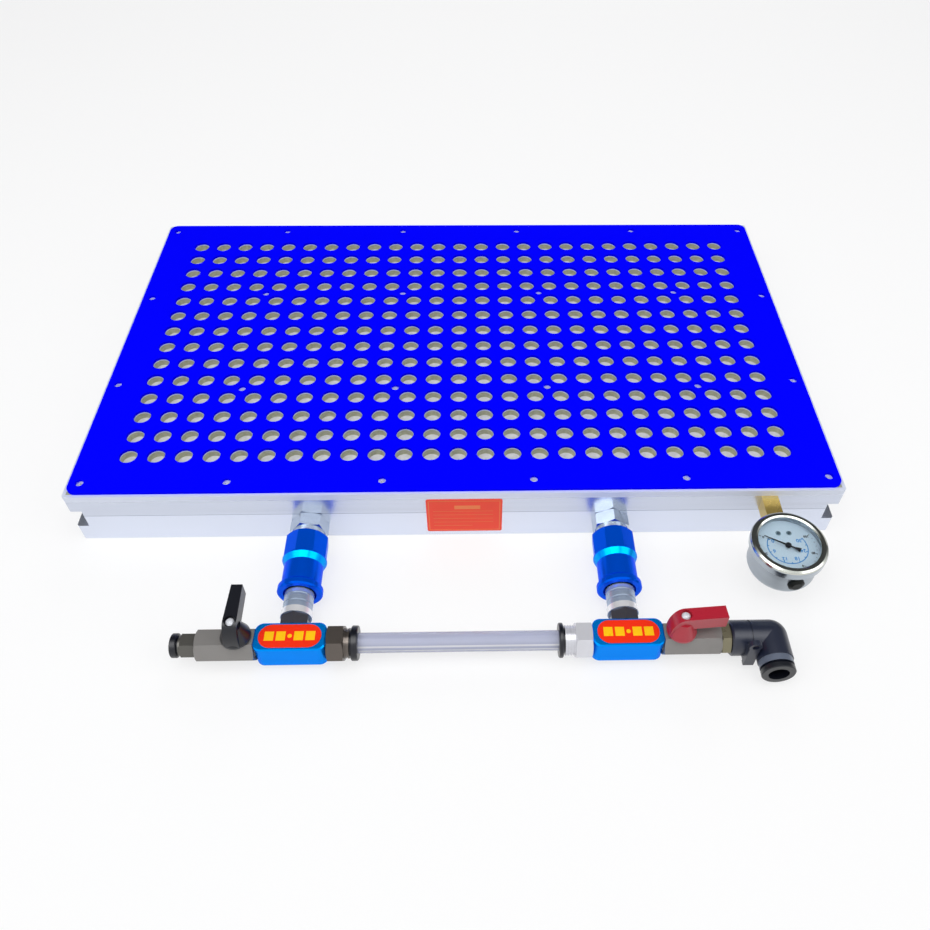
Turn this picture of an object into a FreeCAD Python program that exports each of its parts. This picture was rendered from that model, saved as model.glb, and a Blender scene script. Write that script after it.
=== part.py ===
"""Many-holed vacuum chuck: a suction plate on a chamber, a quick-coupled manifold and a gauge.

X runs along the chuck, Y away from its front face and Z up from the surface that it rests on.
The origin is the centre of the underside. All sizes are in millimetres.
"""
import FreeCAD, Part
import math
import os
import re
import Sketcher

SIZES = {
    # chuck body and plate
    "chuck_length": 500,
    "chuck_width": 300,
    "base_height": 38,
    "plate_thickness": 5,
    "mat_thickness": 2,
    "mat_margin": 2,
    "mat_corner_radius": 6,
    "corner_chamfer": 1.2,
    # suction cells
    "hole_pitch": 18,
    "cell_border": 32,
    "cell_diameter": 11.4,
    "mat_hole_diameter": 11.8,
    "orifice_diameter": 1.5,
    "throttle_thickness": 2,
    # chamber under the throttle sheet
    "chamber_wall": 26,
    "chamber_floor": 8,
    "chamber_corner_radius": 8,
    "throttle_ledge": 3,
    "sheet_clearance": 0.2,
    "post_diameter": 12,
    "post_every": 6,
    "screw_first": 3.5,
    "post_first": 0.5,
    # plate seal in its groove
    "seal_inset": 20,
    "seal_width": 3.2,
    "seal_depth": 2.6,
    # clamp grooves along both sides
    "clamp_groove_low": 13.5,
    "clamp_groove_height": 15.2,
    "clamp_groove_depth": 8,
    # plate screws
    "screw_diameter": 4,
    "screw_length": 10,
    "screw_head_diameter": 7,
    "screw_head_height": 2.6,
    "screw_head_sink": 2.8,
    "screw_head_gap": 0.3,
    "screw_hole_gap": 0.25,
    "screw_tip_gap": 0.2,
    "screw_socket_diameter": 2.9,
    "screw_socket_depth": 1.4,
    "mat_screw_hole": 5.4,
    "rim_screw_inset_x": 9,
    "rim_screw_inset_y": 10.5,
    "rim_screw_near_share": 0.203,
    "rim_screw_far_share": 0.614,
    "side_screw_share": 0.351,
    # pipe ports, tails and passages
    "port_height": 14.4,
    "left_port_place": -97.5,
    "right_port_place": 100,
    "tail_diameter": 13,
    "thread_gap": 0.05,
    "port_tail_length": 13,
    "block_tail_length": 8,
    "passage_diameter": 8,
    "gauge_port_inset": 47.5,
    "gauge_port_height": 29.7,
    "small_tail_diameter": 9.8,
    "small_tail_length": 8.5,
    "small_passage_diameter": 5,
    "gauge_passage_diameter": 3,
    # quick coupler socket, outwards from the front face
    "hex_chamfer": 1,
    "coupler_hex_flats": 21.5,
    "coupler_hex_length": 9.4,
    "coupler_shoulder_diameter": 20.4,
    "coupler_shoulder_end": 16,
    "coupler_barrel_diameter": 18.4,
    "coupler_barrel_end": 33,
    "coupler_nose_diameter": 17.2,
    "coupler_nose_end": 54.4,
    "plug_pocket_start": 34,
    "seal_ring_start": 36.2,
    "seal_ring_section": 1.7,
    "ball_place": 46.5,
    "ball_diameter": 3.5,
    "ball_reach": 0.9,
    "ball_gap": 0.05,
    "balls_per_coupler": 8,
    "stop_ring_thickness": 1,
    "stop_ring_groove_depth": 0.6,
    # sliding sleeve of the coupler
    "sleeve_start": 13.6,
    "sleeve_end": 55.2,
    "sleeve_rear_diameter": 28,
    "sleeve_flats": 26,
    "sleeve_sides": 8,
    "sleeve_grip_end": 30.5,
    "sleeve_rear_end": 31.5,
    "sleeve_waist_start": 35.5,
    "sleeve_waist_diameter": 24.5,
    "sleeve_flange_start": 49.6,
    "sleeve_flange_diameter": 28,
    "sleeve_lip_length": 1.5,
    "sleeve_edge": 0.9,
    "spring_room_diameter": 22.8,
    "lock_land_length": 4,
    "release_recess_diameter": 20.4,
    "running_gap": 0.05,
    "spring_wire": 1.3,
    "spring_turns": 5,
    # coupler plug
    "plug_nose_diameter": 12.2,
    "plug_nose_start": 35,
    "plug_ring_start": 55.5,
    "plug_ring_diameter": 18,
    "plug_collar_diameter": 19,
    "plug_collar_length": 4.5,
    "plug_rib_depth": 0.4,
    "plug_hex_start": 72,
    "plug_hex_flats": 16,
    # manifold blocks
    "manifold_offset": 89,
    "block_length": 42,
    "block_section": 18.3,
    "block_corner_radius": 5,
    "block_edge": 0.8,
    "block_label_length": 36.5,
    "block_label_width": 15,
    "label_thickness": 0.3,
    # push-in fittings for the clear tube
    "tube_diameter": 12,
    "tube_bore": 9,
    "tube_gap": 0.05,
    "tube_stop": 2,
    "fitting_hex_flats": 20,
    "fitting_hex_length": 10,
    "fitting_neck_diameter": 17.6,
    "fitting_pocket_start": 6,
    "left_neck_length": 3,
    "right_neck_length": 6,
    "rib_depth": 0.5,
    "collar_neck_wall": 1.4,
    "collar_flange_diameter": 20.5,
    "left_collar_thickness": 4,
    "right_collar_thickness": 2.6,
    "collar_travel": 0.9,
    "collar_gap": 1,
    "collar_edge": 0.5,
    # mini ball valves
    "valve_flats": 18,
    "valve_length": 34,
    "valve_ball_place": 10,
    "valve_ball_diameter": 11,
    "valve_ball_bore": 7,
    "seat_gap": 0.1,
    "seat_bore": 8,
    "seat_outer_reach": 10.1,
    "seat_room_start": 4,
    "insert_start": 18,
    "stem_diameter": 4.8,
    "stem_tongue_width": 2.1,
    "stem_tongue_gap": 0.05,
    "ball_slot_depth": 1.6,
    "lever_foot_gap": 0.3,
    "lever_foot_diameter": 17.6,
    "lever_foot_height": 2,
    "lever_cone_top": 36,
    "lever_cone_diameter": 10,
    "lever_top": 41.7,
    "lever_height": 10,
    "lever_width": 8,
    "left_lever_tip_width": 6.6,
    "right_lever_tip_width": 8,
    "lever_nose": 8.2,
    "lever_reach": 24,
    "lever_roof": 2,
    "lever_recess_diameter": 6.6,
    "lever_recess_depth": 2.2,
    "lever_screw_diameter": 2.5,
    "lever_screw_head": 5,
    "lever_screw_length": 7,
    "fit_gap": 0.05,
    # straight push-in drain fitting
    "drain_tube": 8,
    "drain_flats": 13.5,
    "drain_hex_length": 9,
    "drain_ring_diameter": 12.4,
    "drain_end": 10.2,
    "drain_pocket_start": 4,
    "drain_flange_diameter": 14.3,
    "drain_flange_thickness": 3.8,
    # swivelling push-in elbow and its brass adapter
    "adapter_flats": 17,
    "adapter_hex_length": 5.5,
    "adapter_journal_diameter": 12,
    "adapter_journal_length": 9,
    "elbow_run": 30.4,
    "elbow_diameter": 21,
    "elbow_seam_place": 17,
    "elbow_seam_step": 0.5,
    "elbow_drop": 19.5,
    "elbow_passage": 9,
    "elbow_tube_seat": 6,
    "elbow_pocket_start": 10,
    "elbow_flange_diameter": 20,
    "elbow_flange_thickness": 3.5,
    "lug_place": 16.5,
    "lug_thickness": 3,
    "lug_width": 6.3,
    "lug_drop": 8.4,
    "lug_rise": 12.1,
    "lug_root_height": 14,
    "lug_root_depth": 3.5,
    "lug_eye_diameter": 7.6,
    "lug_hole": 4,
    # vacuum gauge
    "gauge_stand_off": 19.3,
    "gauge_top": 44,
    "gauge_bezel_rim": 2.3,
    "gauge_bezel_height": 7,
    "gauge_bezel_cover": 2.2,
    "gauge_bezel_lip": 1.2,
    "gauge_case_diameter": 42.4,
    "gauge_case_low": 19,
    "gauge_case_wall": 1.2,
    "gauge_case_corner": 3,
    "gauge_stem_width": 10.8,
    "gauge_glass_thickness": 1.6,
    "gauge_dial_depth": 6.4,
    "gauge_dial_thickness": 0.8,
    "dial_screw_diameter": 2,
    "dial_screw_inset": 10.3,
    "pointer_height": 1.6,
    "pointer_thickness": 0.4,
    "pointer_gap": 3.8,
    "pointer_tail": 7.7,
    "pointer_width": 1.1,
    "pointer_tail_width": 3.2,
    "pointer_hub_diameter": 3.6,
    "pointer_arbor_diameter": 1.4,
    "pointer_rest_angle": 150,
    "fill_plug_diameter": 10,
    "fill_plug_height": 2.4,
    "fill_plug_angle": -85,
    "bourdon_inset": 6,
    "bourdon_width": 6,
    "bourdon_wall": 1.6,
    "bourdon_sweep": 260,
    "socket_block_width": 9,
    "movement_thickness": 1.2,
    # front plate label
    "front_label_left": -21,
    "front_label_right": 28.5,
    "front_label_low": 4,
    "front_label_high": 37.4,
    "front_label_corner": 1.5,
}

FUNCTIONS = ("sqrt", "cos", "sin", "tan", "min", "max")

doc = FreeCAD.newDocument("VacuumChuck")
sheet = doc.addObject("Spreadsheet::Sheet", "Sizes")
pieces = {}


def fill_sheet():
    """One row of the sheet for each driving size, with its name as the cell's alias."""
    for row, (name, value) in enumerate(SIZES.items(), start=1):
        sheet.set(f"A{row}", name)
        sheet.set(f"B{row}", str(value))
        sheet.setAlias(f"B{row}", name)
    doc.recompute()


def formula(text):
    """The text with each size's name pointed at its cell of the sheet."""
    return re.sub(
        r"[a-z]\w+",
        lambda word: word.group() if word.group() in FUNCTIONS else "Sizes." + word.group(),
        text,
    )


def bind(thing, formulas):
    """Ties the properties of an object to formulas in the names of the sheet."""
    for name, text in formulas.items():
        thing.setExpression(name, formula(text))


def half(text):
    """The formula of a radius, from that of a diameter."""
    return f"({text}) / 2"


PLATE_TOP = "(base_height + plate_thickness)"
FRONT = "(-chuck_width / 2)"
MANIFOLD = "(-chuck_width / 2 - manifold_offset)"
GAUGE_CENTRE = (
    "(chuck_length / 2 - gauge_port_inset)",
    "(-chuck_width / 2 - gauge_stand_off - gauge_case_diameter / 2)",
)
DIAL_SCREW_CIRCLE = "(gauge_case_diameter / 2 - dial_screw_inset)"
TURNS = {
    "up": FreeCAD.Rotation(),
    "out": FreeCAD.Rotation(FreeCAD.Vector(1, 0, 0), 90),
    "right": FreeCAD.Rotation(FreeCAD.Vector(0, 1, 0), 90),
    "left": FreeCAD.Rotation(FreeCAD.Vector(0, 1, 0), -90),
}


def place(thing, direction, x_place, y_place, z_place):
    """Turns an object's own Z to the direction and ties its place to the sheet."""
    thing.Placement = FreeCAD.Placement(FreeCAD.Vector(), TURNS[direction])
    bind(thing, {"Placement.Base.x": x_place, "Placement.Base.y": y_place, "Placement.Base.z": z_place})
    return thing


def keep(name, thing):
    """Takes an object as the finished sub-part of that name."""
    thing.Label = name
    pieces[name] = thing
    return thing


def add(kind, name, formulas=None):
    """A Part object of the kind, with its sizes tied to the sheet."""
    thing = doc.addObject(f"Part::{kind}", name)
    bind(thing, formulas or {})
    return thing


def cylinder(name, diameter, length, low="0"):
    return add("Cylinder", name, {"Radius": half(diameter), "Height": length, "Placement.Base.z": low})


def prism(name, flats, sides, length, low="0", turn=0):
    """A regular bar of that many sides, along Z, measured across its flats."""
    bar = doc.addObject("Part::Prism", name)
    bar.Placement = FreeCAD.Placement(FreeCAD.Vector(), FreeCAD.Rotation(FreeCAD.Vector(0, 0, 1), turn))
    bind(bar, {
        "Polygon": sides,
        "Circumradius": f"({flats}) / 2 / cos(180 / ({sides}))",
        "Height": length,
        "Placement.Base.z": low,
    })
    return bar


def block(name, size, low):
    """A box with its size and its low corner tied to the sheet."""
    return add("Box", name, {
        "Length": size[0], "Width": size[1], "Height": size[2],
        "Placement.Base.x": low[0], "Placement.Base.y": low[1], "Placement.Base.z": low[2],
    })


def cut(name, base, tool):
    result = doc.addObject("Part::Cut", name)
    result.Base = base
    result.Tool = tool
    return result


def fuse(name, *shapes):
    result = doc.addObject("Part::MultiFuse", name)
    result.Shapes = list(shapes)
    return result


def common(name, base, tool):
    result = doc.addObject("Part::Common", name)
    result.Base = base
    result.Tool = tool
    return result


def group(name, *shapes):
    """Separate solids kept together as one object."""
    result = doc.addObject("Part::Compound", name)
    result.Links = list(shapes)
    return result


def solid_of(name, shape):
    """An object that holds a shape made with Part's own functions."""
    thing = doc.addObject("Part::Feature", name)
    thing.Shape = shape
    return thing


def origin_plane(body, role):
    return next(plane for plane in body.Origin.OriginFeatures if plane.Role == role)


def closed_sketch(body, plane, corners):
    """A closed outline of straight sides, each corner held by two formulas."""
    sketch = body.newObject("Sketcher::SketchObject", body.Name + "_outline")
    sketch.AttachmentSupport = (origin_plane(body, plane), [""])
    sketch.MapMode = "FlatFace"
    count = len(corners)
    rough = [
        FreeCAD.Vector(30 + 20 * math.cos(2 * math.pi * i / count), 20 * math.sin(2 * math.pi * i / count))
        for i in range(count)
    ]
    for i in range(count):
        sketch.addGeometry(Part.LineSegment(rough[i], rough[(i + 1) % count]), False)
    for i in range(count):
        sketch.addConstraint(Sketcher.Constraint("Coincident", i, 2, (i + 1) % count, 1))
    for i, (across, along) in enumerate(corners):
        for kind, text, start in (("DistanceX", across, rough[i].x), ("DistanceY", along, rough[i].y)):
            number = sketch.addConstraint(Sketcher.Constraint(kind, -1, 1, i, 1, start))
            sketch.setExpression(f"Constraints[{number}]", formula(text))
    return sketch


def turned(name, corners):
    """A body turned about its own Z, from the (radius, height) corners of half its section."""
    body = doc.addObject("PartDesign::Body", name)
    sketch = closed_sketch(body, "XZ_Plane", corners)
    turn = body.newObject("PartDesign::Revolution", name + "_turn")
    turn.Profile = sketch
    turn.ReferenceAxis = (sketch, ["V_Axis"])
    turn.Angle = 360
    return body


def padded(name, corners, length):
    """A body pushed up from the outline on its XY plane."""
    body = doc.addObject("PartDesign::Body", name)
    pad = body.newObject("PartDesign::Pad", name + "_pad")
    pad.Profile = closed_sketch(body, "XY_Plane", corners)
    bind(pad, {"Length": length})
    return body


def hex_corners(flats, low, high, low_chamfer="hex_chamfer", high_chamfer="hex_chamfer"):
    """The corners that leave chamfered ends on a stretch of hexagon bar."""
    wide = f"({flats}) / 2 / cos(30) + 0.6 * hex_chamfer"
    return [
        (half(flats), low),
        (wide, f"({low}) + {low_chamfer}"),
        (wide, f"({high}) - {high_chamfer}"),
        (half(flats), high),
    ]


def on_hex_bar(name, corners, flats, length, low, turn=30):
    """A turned piece left with six flats where it is wider than them."""
    return common(name, turned(name + "_blank", corners), prism(name + "_bar", flats, "6", length, low, turn))


def ribs(outer, low, high, count):
    """The corners of shallow grooves between the ribs of a neck."""
    corners = []
    pitch = f"(({high}) - ({low})) / {2 * count + 1}"
    for groove in range(count):
        start = f"{low} + {2 * groove + 1} * {pitch}"
        end = f"{low} + {2 * groove + 2} * {pitch}"
        inner = f"{outer} - rib_depth"
        corners += [(outer, start), (inner, start), (inner, end), (outer, end)]
    return corners


def rounded_rectangle(length, width, radius, height):
    """A flat closed wire centred on Z, with round corners."""
    x, y = length / 2, width / 2
    edges = []
    for side_x, side_y, start in ((1, 1, 0), (-1, 1, 90), (-1, -1, 180), (1, -1, 270)):
        centre = FreeCAD.Vector(side_x * (x - radius), side_y * (y - radius), height)
        arc = Part.makeCircle(radius, centre, FreeCAD.Vector(0, 0, 1), start, start + 90)
        if edges:
            edges.append(Part.makeLine(edges[-1].lastVertex().Point, arc.firstVertex().Point))
        edges.append(arc)
    edges.append(Part.makeLine(edges[-1].lastVertex().Point, edges[0].firstVertex().Point))
    return Part.Wire(edges)


def chamfered_rectangle(length, width, chamfer, height):
    """A flat closed wire centred on Z, with its four corners cut off."""
    x, y = length / 2, width / 2
    points = [
        (x, y - chamfer), (x - chamfer, y), (chamfer - x, y), (-x, y - chamfer),
        (-x, chamfer - y), (chamfer - x, -y), (x - chamfer, -y), (x, chamfer - y),
    ]
    corners = [FreeCAD.Vector(*point, height) for point in points]
    return Part.makePolygon(corners + corners[:1])


def holes_at(places, diameter, height):
    up = FreeCAD.Vector(0, 0, 1)
    return [
        Part.Wire(Part.makeCircle(diameter / 2, FreeCAD.Vector(x, y, height), up)) for x, y in places
    ]


def pierced_sheet(outline, holes, thickness):
    """A flat sheet pushed up from its outline, with round holes right through."""
    inward = [hole.reversed() for hole in holes]
    return Part.Face([outline] + inward).extrude(FreeCAD.Vector(0, 0, thickness))


def grid_places(first=0, step=1):
    """Places on the square grid of cells, from a first column and row on, a number of pitches apart."""
    ways = []
    for size in (sheet.chuck_length, sheet.chuck_width):
        last = int((size - 2 * sheet.cell_border) // sheet.hole_pitch)
        count = int((last - first) // step) + 1
        ways.append([(first + step * i - last / 2) * sheet.hole_pitch for i in range(count)])
    return [(x, y) for x in ways[0] for y in ways[1]]


def inner_screw_places():
    """Screws between the cells."""
    return grid_places(sheet.screw_first, sheet.post_every)


def plain_post_places():
    """Posts with no screw, halfway between the screwed ones."""
    return grid_places(sheet.post_first, sheet.post_every)


def rim_screw_places():
    """Screws around the edge of the plate."""
    edge_x = sheet.chuck_length / 2 - sheet.rim_screw_inset_x
    edge_y = sheet.chuck_width / 2 - sheet.rim_screw_inset_y
    along = [(share * edge_x, edge_y) for share in (1, sheet.rim_screw_far_share, sheet.rim_screw_near_share)]
    beside = [(edge_x, sheet.side_screw_share * edge_y)]
    return [(i * x, j * y) for x, y in along + beside for i in (-1, 1) for j in (-1, 1)]


def chamber_size():
    """The length and width of the chamber in the base."""
    return (
        sheet.chuck_length - 2 * sheet.chamber_wall,
        sheet.chuck_width - 2 * sheet.chamber_wall,
    )


def seal_ring(width_change, low, depth):
    """A flat ring that runs round the chamber at the seal's place."""
    length = sheet.chuck_length - 2 * sheet.seal_inset
    width = sheet.chuck_width - 2 * sheet.seal_inset
    band = sheet.seal_width - width_change
    radius = sheet.chamber_corner_radius
    outer = rounded_rectangle(length + band, width + band, radius + band / 2, low)
    inner = rounded_rectangle(length - band, width - band, radius - band / 2, low)
    return pierced_sheet(outer, [inner], depth)


def chamber_base():
    """The machined base: chamber, posts, seal groove, clamp grooves, ports and tapped holes."""
    up = FreeCAD.Vector(0, 0, 1)
    out = FreeCAD.Vector(0, -1, 0)
    top = sheet.base_height
    outline = chamfered_rectangle(sheet.chuck_length, sheet.chuck_width, sheet.corner_chamfer, 0)
    body = Part.Face(outline).extrude(FreeCAD.Vector(0, 0, top))
    length, width = chamber_size()
    radius = sheet.chamber_corner_radius
    floor = sheet.chamber_floor
    ledge = sheet.throttle_ledge
    posts = holes_at(inner_screw_places() + plain_post_places(), sheet.post_diameter, floor)
    chamber = pierced_sheet(rounded_rectangle(length, width, radius, floor), posts, top - floor)
    recess_low = top - sheet.throttle_thickness
    recess_outline = rounded_rectangle(
        length + 2 * ledge, width + 2 * ledge, radius + ledge, recess_low
    )
    recess = Part.Face(recess_outline).extrude(FreeCAD.Vector(0, 0, sheet.throttle_thickness))
    tools = [chamber, recess, seal_ring(0, top - sheet.seal_depth, sheet.seal_depth)]
    depth = sheet.clamp_groove_depth
    for low_x in (-sheet.chuck_length / 2, sheet.chuck_length / 2 - depth):
        corner = FreeCAD.Vector(low_x, -sheet.chuck_width / 2, sheet.clamp_groove_low)
        tools.append(Part.makeBox(depth, sheet.chuck_width, sheet.clamp_groove_height, corner))
    tip = sheet.base_height + sheet.plate_thickness - sheet.screw_head_sink - sheet.screw_length
    tapped = sheet.screw_diameter / 2 + sheet.thread_gap
    for x, y in rim_screw_places() + inner_screw_places():
        low = FreeCAD.Vector(x, y, tip - sheet.screw_tip_gap)
        tools.append(Part.makeCylinder(tapped, top, low, up))
    wall = sheet.chamber_wall
    ports = [
        (sheet.left_port_place, sheet.port_height, sheet.tail_diameter, sheet.port_tail_length,
         sheet.passage_diameter),
        (sheet.right_port_place, sheet.port_height, sheet.tail_diameter, sheet.port_tail_length,
         sheet.passage_diameter),
        (sheet.chuck_length / 2 - sheet.gauge_port_inset, sheet.gauge_port_height,
         sheet.small_tail_diameter, sheet.small_tail_length, sheet.gauge_passage_diameter),
    ]
    for x, z, tail, tail_length, passage in ports:
        mouth = FreeCAD.Vector(x, -sheet.chuck_width / 2, z)
        end = mouth - out * tail_length
        tools.append(Part.makeCylinder(tail / 2 + sheet.thread_gap, tail_length, end, out))
        tools.append(Part.makeCylinder(passage / 2, wall, mouth - out * wall, out))
    keep("chamber_base", solid_of("chamber_base", body.cut(tools)))


def suction_plate():
    """The perforated plate, its mat, the throttle sheet, the seal and the screws."""
    up = FreeCAD.Vector(0, 0, 1)
    cells = grid_places()
    screws = rim_screw_places() + inner_screw_places()
    clearance = sheet.screw_diameter + 2 * sheet.screw_hole_gap
    low = sheet.base_height
    top = low + sheet.plate_thickness
    outline = chamfered_rectangle(sheet.chuck_length, sheet.chuck_width, sheet.corner_chamfer, low)
    holes = holes_at(cells, sheet.cell_diameter, low) + holes_at(screws, clearance, low)
    plate = pierced_sheet(outline, holes, sheet.plate_thickness)
    sink = sheet.screw_head_sink
    head_room = sheet.screw_head_diameter / 2 + sheet.screw_head_gap
    pockets = [
        Part.makeCylinder(head_room, sink, FreeCAD.Vector(x, y, top - sink), up) for x, y in screws
    ]
    keep("top_plate", solid_of("top_plate", plate.cut(pockets)))

    length, width = chamber_size()
    grow = 2 * (sheet.throttle_ledge - sheet.sheet_clearance)
    radius = sheet.chamber_corner_radius + grow / 2
    sheet_low = low - sheet.throttle_thickness
    outline = rounded_rectangle(length + grow, width + grow, radius, sheet_low)
    holes = holes_at(cells, sheet.orifice_diameter, sheet_low)
    holes += holes_at(inner_screw_places(), clearance, sheet_low)
    throttle = pierced_sheet(outline, holes, sheet.throttle_thickness)
    keep("throttle_sheet", solid_of("throttle_sheet", throttle))

    margin = 2 * sheet.mat_margin
    outline = rounded_rectangle(
        sheet.chuck_length - margin, sheet.chuck_width - margin, sheet.mat_corner_radius, top
    )
    holes = holes_at(cells, sheet.mat_hole_diameter, top) + holes_at(screws, sheet.mat_screw_hole, top)
    mat = pierced_sheet(outline, holes, sheet.mat_thickness)
    keep("anti_slip_mat", solid_of("anti_slip_mat", mat))

    ring = seal_ring(2 * sheet.sheet_clearance, low - sheet.seal_depth, sheet.seal_depth)
    keep("plate_seal", solid_of("plate_seal", ring))

    head_low = top - sink
    head = Part.makeCylinder(
        sheet.screw_head_diameter / 2, sheet.screw_head_height, FreeCAD.Vector(0, 0, head_low), up
    )
    shank = Part.makeCylinder(
        sheet.screw_diameter / 2, sheet.screw_length, FreeCAD.Vector(0, 0, head_low - sheet.screw_length), up
    )
    socket_low = head_low + sheet.screw_head_height - sheet.screw_socket_depth
    corners = [
        FreeCAD.Vector(
            sheet.screw_socket_diameter / 2 * math.cos(math.radians(60 * i)),
            sheet.screw_socket_diameter / 2 * math.sin(math.radians(60 * i)),
            socket_low,
        )
        for i in range(7)
    ]
    socket = Part.Face(Part.makePolygon(corners)).extrude(FreeCAD.Vector(0, 0, sheet.screw_head_height))
    screw = head.fuse(shank).removeSplitter().cut(socket)
    copies = [screw.translated(FreeCAD.Vector(x, y, 0)) for x, y in screws]
    keep("plate_screws", solid_of("plate_screws", Part.makeCompound(copies)))


def front_label():
    """The bare printed plate stuck on the front face."""
    width = "front_label_right - front_label_left"
    height = "front_label_high - front_label_low"
    body = doc.addObject("PartDesign::Body", "front_label")
    face = body.newObject("PartDesign::AdditiveBox", "front_label_sheet")
    bind(face, {"Length": width, "Width": "label_thickness", "Height": height})
    doc.recompute()
    corners = [
        f"Edge{number}"
        for number, edge in enumerate(face.Shape.Edges, start=1)
        if abs(edge.tangentAt(edge.FirstParameter).y) > 0.9
    ]
    rounding = body.newObject("PartDesign::Fillet", "front_label_rounding")
    rounding.Base = (face, corners)
    bind(rounding, {"Radius": "front_label_corner"})
    bind(body, {
        "Placement.Base.x": "front_label_left",
        "Placement.Base.y": f"{FRONT} - label_thickness",
        "Placement.Base.z": "front_label_low",
    })
    keep("front_label", body)


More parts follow.
